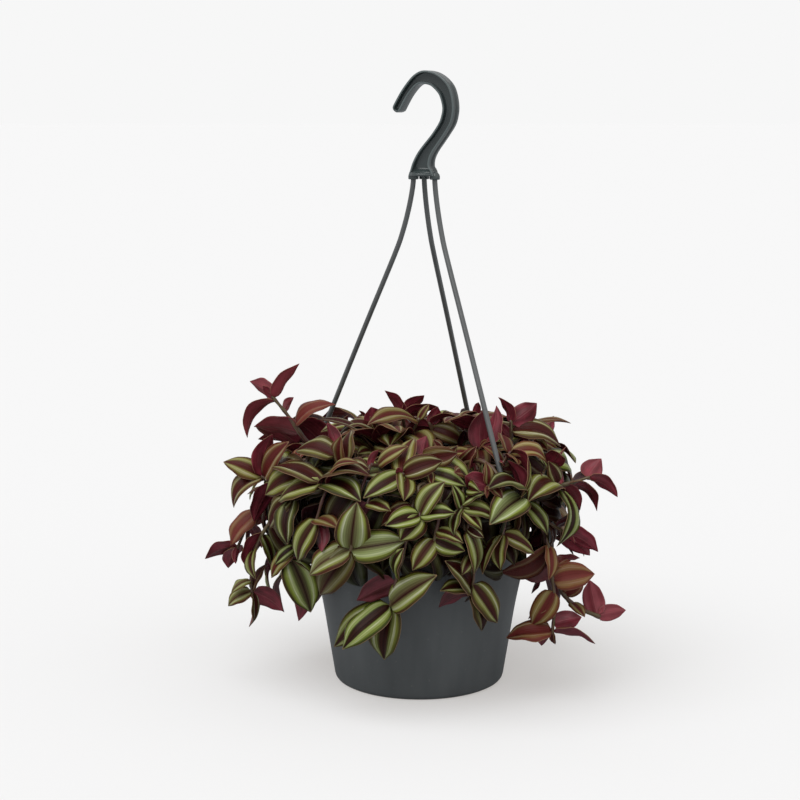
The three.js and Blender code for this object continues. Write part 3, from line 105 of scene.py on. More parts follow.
def square_to(vector: Array, axis: Array) -> Array:
    """The way that a vector points, seen at right angles to an axis."""
    return unit(vector - unit(axis) * np.dot(vector, unit(axis)))


def spoke(axis: Array, angle: float) -> Array:
    """A way straight out from an axis, at an angle round it."""
    side = unit(np.cross(axis, (0.3, 0.5, 0.8)))
    return side * math.cos(angle) + np.cross(axis, side) * math.sin(angle)


def radial(point: Array) -> Array:
    """The level way out from the pot's axis to a point."""
    return unit(np.array((point[0], point[1], 0.0)))


def nearest(points: Array, place: Array) -> Array:
    """The point that lies nearest to a place."""
    return points[int(np.argmin(norm(points - place, axis=1)))]


def point_tree(points: Iterable[tuple[int, Array]]) -> KDTree:
    """A search tree over numbered points."""
    numbered = list(points)
    tree = KDTree(len(numbered))
    for index, point in numbered:
        tree.insert(point, index)
    tree.balance()
    return tree


def swing(angle: float) -> Array:
    """The matrix of a turn about Z."""
    cosine, sine = math.cos(angle), math.sin(angle)
    return np.array(((cosine, -sine, 0), (sine, cosine, 0), (0, 0, 1)))


def travelled(line: Array) -> Array:
    """How far each point of a line lies along it."""
    return np.concatenate([[0], np.cumsum(norm(np.diff(line, axis=0), axis=1))])


def ease(low: float, high: float, value: Array | float) -> Array | float:
    """Rises smoothly from 0 at low to 1 at high."""
    share = np.clip((value - low) / (high - low), 0.0, 1.0)
    return share * share * (3 - 2 * share)


def around(degrees: float, radius: float, height: float) -> Array:
    """A point at a bearing round the pot: 0 faces the camera, 90 is the right-hand side."""
    angle = math.radians(degrees)
    return np.array((radius * math.sin(angle), -radius * math.cos(angle), height))


# ---- Finishes ----


class Nodes:
    """Lays and joins the nodes of one material or node group."""

    def __init__(self, tree: bpy.types.NodeTree) -> None:
        """Starts on an empty node tree."""
        self.tree = tree
        tree.nodes.clear()

    def put(self, socket: Socket, value: object) -> None:
        """Links a socket to another one, or sets its own value."""
        if isinstance(value, Socket):
            self.tree.links.new(value, socket)
        else:
            socket.default_value = value

    def add(self, kind: str, inputs: dict | None = None, **settings: object) -> bpy.types.Node:
        """Adds one node.

        Args:
            kind: The node's type name.
            inputs: Values or sockets for its inputs, by name or by number.
            **settings: Its own properties.

        Returns:
            The new node.
        """
        node = self.tree.nodes.new(kind)
        for name, value in settings.items():
            setattr(node, name, value)
        for name, value in (inputs or {}).items():
            self.put(node.inputs[name], value)
        return node

    def math(self, operation: str, first: object, second: object = 0.0) -> Socket:
        """One sum of two numbers."""
        return self.add("ShaderNodeMath", {0: first, 1: second}, operation=operation).outputs[0]

    def times(self, first: object, second: object) -> Socket:
        """Two numbers multiplied."""
        return self.math("MULTIPLY", first, second)

    def plus(self, first: object, second: object) -> Socket:
        """Two numbers added."""
        return self.math("ADD", first, second)

    def step(self, value: object, low: object, high: object) -> Socket:
        """A smooth rise from 0 at low to 1 at high."""
        inputs = {"Value": value, "From Min": low, "From Max": high}
        node = self.add("ShaderNodeMapRange", inputs, interpolation_type="SMOOTHSTEP")
        return node.outputs["Result"]

    def span(self, value: object, low: float, high: float) -> Socket:
        """Spreads a value of 0 to 1 between two others."""
        inputs = {"Value": value, "To Min": low, "To Max": high}
        return self.add("ShaderNodeMapRange", inputs).outputs["Result"]

    def mix(self, share: object, first: object, second: object) -> Socket:
        """A colour between two others."""
        inputs = {0: share, 6: first, 7: second}
        return self.add("ShaderNodeMix", inputs, data_type="RGBA").outputs[2]

    def tint(self, colour: object, mask: object, share: float, target: object) -> Socket:
        """A colour drawn towards another by a share of a mask."""
        return self.mix(self.times(mask, share), colour, target)

    def ramp(self, value: object, stops: Sequence[tuple]) -> Socket:
        """A colour that passes through stops of (value, red, green, blue).

        Args:
            value: The number.
            stops: The stops, lowest first.

        Returns:
            The colour.
        """
        node = self.add("ShaderNodeValToRGB", {0: value})
        band = node.color_ramp
        band.interpolation = "EASE"
        for stop in stops[1:-1]:
            band.elements.new(stop[0])
        for element, (place, *colour) in zip(band.elements, stops):
            element.position, element.color = place, srgb(*colour)
        return node.outputs["Color"]

    def noise(self, vector: object, scale: object, detail: float = 2.0) -> Socket:
        """Soft noise of 0 to 1 about the middle."""
        inputs = {"Vector": vector, "Scale": scale, "Detail": detail}
        return self.add("ShaderNodeTexNoise", inputs).outputs["Fac"]

    def combine(self, x: object, y: object, z: object) -> Socket:
        """A vector from three numbers."""
        return self.add("ShaderNodeCombineXYZ", {0: x, 1: y, 2: z}).outputs[0]

    def separate(self, vector: object) -> Sequence[Socket]:
        """The three numbers of a vector."""
        return self.add("ShaderNodeSeparateXYZ", {0: vector}).outputs

    def attribute(self, name: str) -> Socket:
        """A value that the mesh holds at each of its points."""
        return self.add("ShaderNodeAttribute", attribute_name=name).outputs["Vector"]

    def bump(self, height: object, strength: float, distance: float) -> Socket:
        """A normal from a height."""
        inputs = {"Height": height, "Strength": strength, "Distance": distance}
        return self.add("ShaderNodeBump", inputs).outputs["Normal"]

    def surface(self, **inputs: object) -> bpy.types.Node:
        """The surface shader and the material's output, with the shader's inputs by name."""
        named = {name.replace("_", " "): value for name, value in inputs.items()}
        shader = self.add("ShaderNodeBsdfPrincipled", named)
        self.add("ShaderNodeOutputMaterial", {"Surface": shader.outputs[0]})
        return shader


class Effect:
    """A node group that several finishes share, built once."""

    def __init__(self, name: str, place: str, number: str, *outputs: str) -> None:
        """Makes the empty group.

        Args:
            name: The group's name.
            place: Name of its vector input.
            number: Name of its number input.
            *outputs: Names of its outputs, all numbers.
        """
        self.tree = bpy.data.node_groups.new(name, "ShaderNodeTree")
        self.nodes = Nodes(self.tree)
        sockets = [(place, "INPUT", "NodeSocketVector"), (number, "INPUT", "NodeSocketFloat")]
        sockets += [(label, "OUTPUT", "NodeSocketFloat") for label in outputs]
        for label, way, kind in sockets:
            self.tree.interface.new_socket(label, in_out=way, socket_type=kind)
        self.source = self.nodes.add("NodeGroupInput").outputs
        self.sink = self.nodes.add("NodeGroupOutput").inputs

    def give(self, **outputs: object) -> None:
        """Joins the group's outputs."""
        for label, value in outputs.items():
            self.nodes.put(self.sink[label], value)

    def place(self, nodes: Nodes, **inputs: object) -> Sequence[Socket]:
        """Puts the group into a material with its own values, and returns its outputs."""
        node = nodes.add("ShaderNodeGroup", node_tree=self.tree)
        for label, value in inputs.items():
            nodes.put(node.inputs[label], value)
        return node.outputs


def streak_effect() -> Effect:
    """Veins and feathered streaks that run along a leaf or stem.

    Returns:
        The group: from a place of (along, across, seed) it gives a streak, a vein and a patch.
    """
    effect = Effect("Leaf streaks", "Place", "Veins", "Streak", "Vein", "Patch")
    nodes, source = effect.nodes, effect.source
    along, across, seed = nodes.separate(source["Place"])
    shift = nodes.times(seed, 37.0)
    threads = nodes.combine(nodes.times(along, 1.6), nodes.times(across, 9.0), shift)
    streak = nodes.noise(threads, 1.0, 3.0)
    wave = nodes.times(across, source["Veins"])
    vein = nodes.math("SINE", nodes.plus(wave, nodes.times(streak, 2.4)))
    patch = nodes.noise(nodes.combine(along, nodes.times(across, 0.7), shift), 2.2)
    effect.give(Streak=streak, Vein=nodes.span(vein, 0.5, 1.0), Patch=patch)
    return effect


def grain_effect() -> Effect:
    """The fine grain, faint flow lines and dust of moulded plastic.

    Returns:
        The group: from a position it gives a height, a tone and a mask of dust.
    """
    effect = Effect("Moulded grain", "Position", "Grain", "Height", "Tone", "Dust")
    nodes, source = effect.nodes, effect.source
    position = source["Position"]
    x, y, z = nodes.separate(position)
    grain = nodes.noise(position, source["Grain"], 3.0)
    flow = nodes.noise(nodes.combine(x, y, nodes.times(z, 0.12)), 90.0, 3.0)
    cloud = nodes.noise(position, 16.0, 3.0)
    effect.give(Height=nodes.plus(grain, nodes.times(flow, 0.6)),
                Tone=nodes.plus(nodes.times(flow, 0.5), nodes.times(cloud, 0.5)),
                Dust=nodes.step(nodes.noise(position, 420.0), 0.66, 0.8))
    return effect


@dataclass(frozen=True)
class Plastic:
    """Satin moulded plastic with a fine grain and a little dust."""

    name: str
    dark: tuple
    light: tuple
    grain: float
    roughness: float
    shine: float = 0.42
    dust: tuple = srgb(150, 148, 142)

    def make(self, effect: Effect) -> Material:
        """Makes the material with the shared grain.

        Args:
            effect: The shared grain.

        Returns:
            The material.
        """
        material, nodes = new_material(self.name)
        position = nodes.add("ShaderNodeTexCoord").outputs["Object"]
        height, tone, dust = effect.place(nodes, Position=position, Grain=self.grain)
        colour = nodes.mix(nodes.step(tone, 0.3, 0.7), self.dark, self.light)
        nodes.surface(Base_Color=nodes.tint(colour, dust, 0.14, self.dust),
                      Specular_IOR_Level=self.shine,
                      Roughness=nodes.plus(nodes.span(tone, -0.06, 0.06), self.roughness),
                      Normal=nodes.bump(height, 0.16, 0.07 / self.grain))
        return material


@dataclass(frozen=True)
class Compost:
    """Damp, dark compost with paler fibres."""

    name: str = "compost"
    dark: tuple = srgb(24, 17, 13)
    light: tuple = srgb(74, 56, 42)
    fibre: tuple = srgb(112, 88, 62)

    def make(self) -> Material:
        """Makes the material.

        Returns:
            The material.
        """
        material, nodes = new_material(self.name)
        position = nodes.add("ShaderNodeTexCoord").outputs["Object"]
        lumps = nodes.noise(position, 260.0, 5.0)
        fibres = nodes.step(nodes.noise(position, 900.0, 3.0), 0.6, 0.75)
        colour = nodes.mix(nodes.step(lumps, 0.35, 0.75), self.dark, self.light)
        nodes.surface(Base_Color=nodes.tint(colour, fibres, 0.5, self.fibre),
                      Roughness=nodes.span(lumps, 0.8, 1.0), Normal=nodes.bump(lumps, 0.8, 0.001))
        return material


@dataclass(frozen=True)
class LeafTop:
    """Upper side of a leaf: two soft bright stripes between plum bands, with a fine pale edge, a
    painted highlight along each stripe, and painted shade on leaves deep in the crown.

    Each stripe pattern lists (share of the half width, red, green, blue) from the midrib outwards.
    """

    name: str = "leaf_top"
    dark: tuple = (
        (0.0, 34, 8, 7), (0.16, 47, 15, 12), (0.35, 38, 14, 6), (0.45, 70, 62, 22),
        (0.53, 148, 150, 100), (0.64, 112, 114, 52), (0.78, 62, 55, 14), (0.9, 38, 15, 7),
        (1.0, 54, 19, 14))
    zebra: tuple = (
        (0.0, 36, 14, 8), (0.1, 48, 22, 13), (0.21, 38, 19, 6), (0.29, 68, 72, 20),
        (0.38, 136, 149, 82), (0.55, 168, 178, 106), (0.7, 120, 131, 40), (0.83, 66, 70, 13),
        (0.92, 40, 24, 8), (1.0, 56, 26, 16))
    silvery: tuple = (
        (0.0, 50, 30, 17), (0.07, 84, 80, 50), (0.2, 106, 112, 68), (0.4, 138, 150, 96),
        (0.56, 182, 193, 144), (0.7, 134, 148, 64), (0.82, 88, 92, 22), (0.91, 54, 38, 18),
        (1.0, 66, 34, 24))
    # Colour of the painted highlight along the middle of each stripe.
    painted_sheen: tuple = srgb(208, 211, 188)
    dusk: tuple = srgb(28, 11, 5)
    edge: tuple = srgb(166, 134, 100)
    blush: tuple = srgb(118, 45, 42)
    # Paler pink of the most blushing leaves: partly their own colour, partly painted light shining
    # through them.
    rosy_and_lit_through: tuple = srgb(134, 70, 62)
    moss: tuple = srgb(82, 98, 50)
    # Near black that painted shade draws leaves deep in the crown towards; a small random dimming
    # of each leaf uses it too.
    deep: tuple = srgb(9, 5, 4)

    def make(self, effect: Effect) -> Material:
        """Makes the material with the shared streaks.

        Args:
            effect: The shared streaks.

        Returns:
            The material.
        """
        material, nodes = new_material(self.name)
        place = nodes.attribute("leaf_place")
        along, across, seed = nodes.separate(place)
        silver, blush, shade = nodes.separate(nodes.attribute("leaf_tint"))
        streak, vein, patch = effect.place(nodes, Place=place, Veins=46.0)
        side = nodes.math("ABSOLUTE", across)
        feather, drift, lean = (nodes.times(nodes.math("SUBTRACT", value, 0.5), reach)
                                for value, reach in ((streak, 0.34), (patch, 0.14), (seed, 0.12)))
        shift = nodes.plus(feather, nodes.plus(drift, lean))
        band = nodes.plus(side, nodes.times(shift, nodes.span(side, 0.4, 1.0)))
        dark, zebra, silvery = (nodes.ramp(band, stops)
                                for stops in (self.dark, self.zebra, self.silvery))
        colour = nodes.mix(nodes.step(silver, 0.05, 0.4), dark, zebra)
        colour = nodes.mix(nodes.step(silver, 0.45, 0.95), colour, silvery)
        cool, dim = (nodes.times(nodes.math("FRACT", nodes.times(seed, rate)), share)
                     for rate, share in ((7.31, 0.3), (3.77, 0.2)))
        colour = nodes.mix(nodes.times(cool, nodes.step(band, 0.2, 0.5)), colour, self.moss)
        # Painted highlight: a pale sheen along the middle of each stripe, where the streaks run
        # bright.
        stripe = nodes.times(nodes.step(band, 0.44, 0.58), nodes.step(band, 0.76, 0.6))
        painted_sheen = nodes.times(stripe, nodes.times(nodes.step(streak, 0.44, 0.7), 0.7))
        colour = nodes.mix(painted_sheen, colour, self.painted_sheen)
        ends = nodes.math("MAXIMUM", nodes.step(along, 0.12, 0.0), nodes.step(along, 0.8, 1.0))
        centre = nodes.step(side, 0.04, 0.016)
        warm = nodes.times(blush, nodes.span(patch, 0.5, 1.0))
        for mask, share, target in (
                (ends, 0.55, self.dusk), (nodes.step(vein, 0.78, 0.5), 0.22, self.dusk),
                (centre, 0.85, self.dusk), (warm, 0.92, self.blush)):
            colour = nodes.tint(colour, mask, share, target)
        # The most blushing leaves turn paler pink: partly their own colour, partly painted light
        # shining through them.
        pale = nodes.times(nodes.step(blush, 0.72, 1.0), nodes.span(streak, 0.1, 0.62))
        rim = nodes.math("MAXIMUM", nodes.step(side, 0.955, 0.995), nodes.step(along, 0.95, 0.995))
        colour = nodes.tint(nodes.mix(pale, colour, self.rosy_and_lit_through), rim, 0.62, self.edge)
        # Painted shade: leaves deep in the crown are drawn towards near black, and each leaf a
        # little by a random dimming.
        colour = nodes.mix(nodes.math("MAXIMUM", shade, dim), colour, self.deep)
        height = nodes.math("SUBTRACT", vein, nodes.times(centre, 2.0))
        nodes.surface(Base_Color=colour, Roughness=nodes.span(streak, 0.26, 0.46),
                      Specular_IOR_Level=0.11, Normal=nodes.bump(height, 0.45, 0.0003))
        return material


@dataclass(frozen=True)
class LeafUnder:
    """Lower side of a leaf: burgundy with fine paler lines, paler pink on the most blushing leaves
    partly as painted light shining through them, and painted shade on leaves deep in the crown.
    """

    name: str = "leaf_under"
    deep: tuple = srgb(86, 19, 33)
    bright: tuple = srgb(134, 42, 60)
    # Paler pink of the most blushing leaves: partly their own colour, partly painted light shining
    # through them.
    rosy_and_lit_through: tuple = srgb(160, 74, 82)
    edge: tuple = srgb(146, 86, 84)
    olive: tuple = srgb(90, 52, 40)
    line: tuple = srgb(138, 78, 84)
    midrib: tuple = srgb(138, 74, 76)
    # Near black of the painted shade on leaves deep in the crown.
    dark: tuple = srgb(16, 4, 6)

    def make(self, effect: Effect) -> Material:
        """Makes the material with the shared streaks.

        Args:
            effect: The shared streaks.

        Returns:
            The material.
        """
        material, nodes = new_material(self.name)
        place = nodes.attribute("leaf_place")
        _, across, _ = nodes.separate(place)
        _, blush, shade = nodes.separate(nodes.attribute("leaf_tint"))
        streak, vein, patch = effect.place(nodes, Place=place, Veins=34.0)
        side = nodes.math("ABSOLUTE", across)
        ridge = nodes.step(side, 0.07, 0.0)
        colour = nodes.mix(nodes.step(patch, 0.3, 0.75), self.deep, self.bright)
        # The most blushing leaves turn paler pink: partly their own colour, partly painted light
        # shining through them.
        pale = nodes.times(nodes.step(blush, 0.7, 1.0), nodes.span(patch, 0.4, 0.8))
        colour = nodes.mix(pale, colour, self.rosy_and_lit_through)
        # The last mark is painted shade, which draws leaves deep in the crown towards near black.
        for mask, share, target in (
                (streak, 0.3, self.olive), (nodes.step(vein, 0.82, 0.98), 0.16, self.line),
                (ridge, 0.4, self.midrib), (nodes.step(side, 0.94, 0.99), 0.5, self.edge),
                (shade, 0.85, self.dark)):
            colour = nodes.tint(colour, mask, share, target)
        height = nodes.plus(nodes.times(vein, 0.5), nodes.times(ridge, 1.6))
        nodes.surface(Base_Color=colour, Roughness=nodes.span(streak, 0.34, 0.5),
                      Specular_IOR_Level=0.3, Normal=nodes.bump(height, 0.35, 0.00025))
        return material


@dataclass(frozen=True)
class StemSkin:
    """Fleshy stem: olive brown, flushed with purple in streaks."""

    name: str = "stem_skin"
    olive: tuple = srgb(88, 78, 44)
    purple: tuple = srgb(74, 34, 40)
    # Near black of a painted shade, which every stem here carries at 0.
    dark: tuple = srgb(12, 6, 6)

    def make(self, effect: Effect) -> Material:
        """Makes the material with the shared streaks.

        Args:
            effect: The shared streaks.

        Returns:
            The material.
        """
        material, nodes = new_material(self.name)
        shade = nodes.separate(nodes.attribute("leaf_tint"))[2]
        streak, vein, patch = effect.place(nodes, Place=nodes.attribute("leaf_place"), Veins=20.0)
        flush = nodes.step(nodes.plus(streak, nodes.times(patch, 0.4)), 0.5, 0.9)
        # Painted shade by the leaf_tint attribute draws the skin towards dark; every stem carries a
        # shade of 0.
        colour = nodes.mix(shade, nodes.mix(flush, self.olive, self.purple), self.dark)
        nodes.surface(Base_Color=colour, Roughness=0.42, Specular_IOR_Level=0.45,
                      Normal=nodes.bump(nodes.plus(streak, vein), 0.2, 0.0002))
        return material


def new_material(name: str) -> tuple[Material, Nodes]:
    """An empty material with its node tree."""
    material = bpy.data.materials.new(name)
    material.use_nodes = True
    return material, Nodes(material.node_tree)


class Finishes:
    """Every finish of the plant, pot and hanger, made once."""

    def __init__(self) -> None:
        """Makes the shared effects and the materials."""
        streaks, grain = streak_effect(), grain_effect()
        self.pot, self.hook, self.lip, self.leg = (Plastic(*values).make(grain) for values in (
            ("pot_satin", srgb(72, 75, 76), srgb(82, 85, 86), 900.0, 0.48),
            ("hook_satin", srgb(47, 55, 56), srgb(58, 67, 67), 1400.0, 0.26, 0.7),
            # The lips' lighter satin is a painted highlight along the hook's raised edges.
            ("lip_satin_painted_highlight", srgb(78, 87, 87), srgb(92, 101, 101), 1400.0, 0.3, 0.7),
            ("leg_satin", srgb(74, 76, 76), srgb(88, 90, 90), 1400.0, 0.32, 0.6)))
        self.compost = Compost().make()
        self.foliage = [finish().make(streaks) for finish in (LeafTop, LeafUnder, StemSkin)]


# ---- Meshes ----


def placed(name: str, data: bpy.types.ID) -> Piece:
    """Puts an object with its data into the scene."""
    piece = bpy.data.objects.new(name, data)
    bpy.context.scene.collection.objects.link(piece)
    return piece


def gathered(pieces: Iterable[Piece]) -> tuple[list, list]:
    """Points and faces of several objects, as one list each."""
    points, faces = [], []
    for piece in pieces:
        start = len(points)
        points += [tuple(vertex.co) for vertex in piece.data.vertices]
        faces += [tuple(start + corner for corner in face.vertices) for face in piece.data.polygons]
    return points, faces


class Mould:
    """Collects the points and faces of one piece, and makes its object."""

    def __init__(self, name: str) -> None:
        """Starts an empty piece."""
        self.name = name
        self.points: list[Array] = []
        self.places: list[Array] = []
        self.tints: list[Array] = []
        self.faces: list[tuple[int, ...]] = []
        self.finishes: list[int] = []
        self.count = 0

    def add(self, points: Array, faces: Iterable[Sequence[int]], finish: int | Sequence[int] = 0,
            places: Array | None = None, tint: Sequence[float] = (0, 0, 0)) -> None:
        """Adds one closed body.

        Args:
            points: Its points, one row each.
            faces: Its faces, by point number.
            finish: Number of its finish, or one for each face.
            places: Place of each point as (along, across, seed).
            tint: (silver, blush, shade) of the whole body.
        """
        faces = [tuple(corner + self.count for corner in face) for face in faces]
        self.faces += faces
        self.finishes += [finish] * len(faces) if isinstance(finish, int) else list(finish)
        self.points.append(points)
        self.places.append(np.zeros_like(points) if places is None else places)
        self.tints.append(np.tile(np.asarray(tint, float), (len(points), 1)))
        self.count += len(points)

    def make(self, finishes: Sequence[Material]) -> Piece:
        """Makes the object with its finishes, smooth shading and place values.

        Args:
            finishes: The piece's materials, in order.

        Returns:
            The object.
        """
        mesh = bpy.data.meshes.new(self.name)
        mesh.from_pydata(np.concatenate(self.points).tolist(), [], self.faces)
        for finish in finishes:
            mesh.materials.append(finish)
        mesh.polygons.foreach_set("material_index", self.finishes)
        mesh.polygons.foreach_set("use_smooth", [True] * len(self.faces))
        for name, rows in (("leaf_place", self.places), ("leaf_tint", self.tints)):
            attribute = mesh.attributes.new(name, "FLOAT_VECTOR", "POINT")
            attribute.data.foreach_set("vector", np.concatenate(rows).astype(np.float32).ravel())
        mesh.update()
        return placed(self.name, mesh)


def grid_faces(rows: int, columns: int, closed: bool = False) -> list[tuple[int, int, int, int]]:
    """Faces of a grid of points laid row by row.

    Args:
        rows: Number of rows of points.
        columns: Number of points in each row.
        closed: Whether each row closes on itself.

    Returns:
        The four-cornered faces.
    """
    faces = []
    for row in range(rows - 1):
        for column in range(columns if closed else columns - 1):
            after = (column + 1) % columns
            first, second = row * columns, (row + 1) * columns
            faces.append((first + column, first + after, second + after, second + column))
    return faces


def closed_grid(rows: int, columns: int) -> list[tuple[int, ...]]:
    """Faces of a closed body whose points lie ring by ring, with both ends."""
    last = (rows - 1) * columns
    ends = [tuple(range(columns - 1, -1, -1)), tuple(range(last, last + columns))]
    return grid_faces(rows, columns, closed=True) + ends


def smooth_line(points: Array, spacing: float) -> Array:
    """A smooth line through points, with even steps.

    Args:
        points: The points that it passes through.
        spacing: Length of a step.

    Returns:
        The line's points.
    """
    padded = np.vstack([2 * points[0] - points[1], points, 2 * points[-1] - points[-2]])
    line = []
    for first, second, third, fourth in zip(padded, padded[1:], padded[2:], padded[3:]):
        for share in np.linspace(0, 1, 10, endpoint=False):
            line.append(0.5 * (2 * second + (third - first) * share
                               + (2 * first - 5 * second + 4 * third - fourth) * share ** 2
                               + (3 * second - first - 3 * third + fourth) * share ** 3))
    line.append(points[-1])
    line = np.array(line)
    reached = travelled(line)
    steps = max(2, int(round(reached[-1] / spacing)) + 1)
    wanted = np.linspace(0, reached[-1], steps)
    return np.stack([np.interp(wanted, reached, line[:, axis]) for axis in range(3)], axis=1)


def tube(line: Array, radii: Array, sides: int) -> tuple[Array, list, Array]:
    """A round tube with closed ends along a line.

    Args:
        line: Its centre line.
        radii: Its radius at each point.
        sides: Number of sides.

    Returns:
        Points, faces and places of (along, across, 0).
    """
    tangents = np.gradient(line, axis=0)
    side = unit(np.cross(tangents[0], (0.31, 0.52, 0.79)))
    angles = np.linspace(0, 2 * math.pi, sides, endpoint=False)
    rings, places = [], []
    for point, tangent, radius, reached in zip(line, tangents, radii, travelled(line)):
        tangent = unit(tangent)
        side = unit(side - tangent * np.dot(side, tangent))
        ring = np.outer(np.cos(angles), side) + np.outer(np.sin(angles), np.cross(tangent, side))
        rings.append(point + ring * radius)
        wrap = np.abs(angles / math.pi - 1)
        along = np.full(sides, reached / PATTERN_LENGTH)
        places.append(np.stack([along, wrap, np.zeros(sides)], axis=1))
    return np.concatenate(rings), closed_grid(len(line), sides), np.concatenate(places)


def turned(profile: Sequence[tuple], sides: int, place: Array | float = 0.0) -> tuple[Array, list]:
    """A body of revolution about Z.

    Args:
        profile: (radius, height) from the axis and back to it, bottom first.
        sides: Number of sides.
        place: Where its axis stands.

    Returns:
        Points and faces.
    """
    angles = np.linspace(0, 2 * math.pi, sides, endpoint=False)
    level = np.stack([np.cos(angles), np.sin(angles), np.zeros(sides)], axis=1)
    rows = [level * radius + (0, 0, height) for radius, height in profile[1:-1]]
    faces = grid_faces(len(rows), sides, closed=True)
    count = len(rows) * sides
    ends = np.array([(0, 0, profile[0][1]), (0, 0, profile[-1][1])])
    top = count - sides
    for number in range(sides):
        after = (number + 1) % sides
        faces.append((count, after, number))
        faces.append((count + 1, top + number, top + after))
    return np.concatenate([*rows, ends]) + place, faces


def rounded(corners: Sequence[tuple[float, float, float]],
            steps: int = 4) -> list[tuple[float, float]]:
    """An outline with its corners rounded.

    Args:
        corners: (radius from the axis, height, corner radius) of each corner.
        steps: Number of steps in each rounded corner.

    Returns:
        The outline's points.
    """
    outline = [corners[0][:2]]
    for before, corner, after in zip(corners, corners[1:], corners[2:]):
        point = np.array(corner[:2])
        if corner[2] == 0:
            outline.append(tuple(point))
            continue
        inward, outward = np.array(before[:2]) - point, np.array(after[:2]) - point
        reach = min(corner[2], 0.45 * norm(inward), 0.45 * norm(outward))
        start, end = point + unit(inward) * reach, point + unit(outward) * reach
        for share in np.linspace(0, 1, steps + 1):
            bend = (1 - share) ** 2 * start + 2 * share * (1 - share) * point + share ** 2 * end
            outline.append(tuple(bend))
    outline.append(corners[-1][:2])
    return outline


def cut(piece: Piece, tools: Sequence[Piece], operation: str) -> None:
    """Joins bodies to a piece or cuts them from it, and removes them.

    Args:
        piece: The piece to be changed.
        tools: The bodies.
        operation: The modifier's operation.
    """
    for tool in tools:
        modifier = piece.modifiers.new("cut", "BOOLEAN")
        modifier.operation, modifier.object, modifier.solver = operation, tool, "EXACT"
        bpy.context.view_layer.update()
        shown = piece.evaluated_get(bpy.context.evaluated_depsgraph_get())
        mesh = bpy.data.meshes.new_from_object(shown)
        piece.modifiers.clear()
        old, piece.data = piece.data, mesh
        bpy.data.meshes.remove(old)
        bpy.data.objects.remove(tool)


def sharpen(piece: Piece, degrees: float) -> None:
    """Keeps edges crisp that bend by more than an angle."""
    mesh = piece.data
    mesh.polygons.foreach_set("use_smooth", [True] * len(mesh.polygons))
    mesh.set_sharp_from_angle(angle=math.radians(degrees))


def settle(piece: Piece, slot: Slot, *nodes: str) -> None:
    """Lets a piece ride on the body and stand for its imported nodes."""
    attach(piece, "root")
    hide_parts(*nodes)
    LOG.info("%s: %d faces", piece.name, len(piece.data.polygons))


# ---- Pot, hanger and compost ----


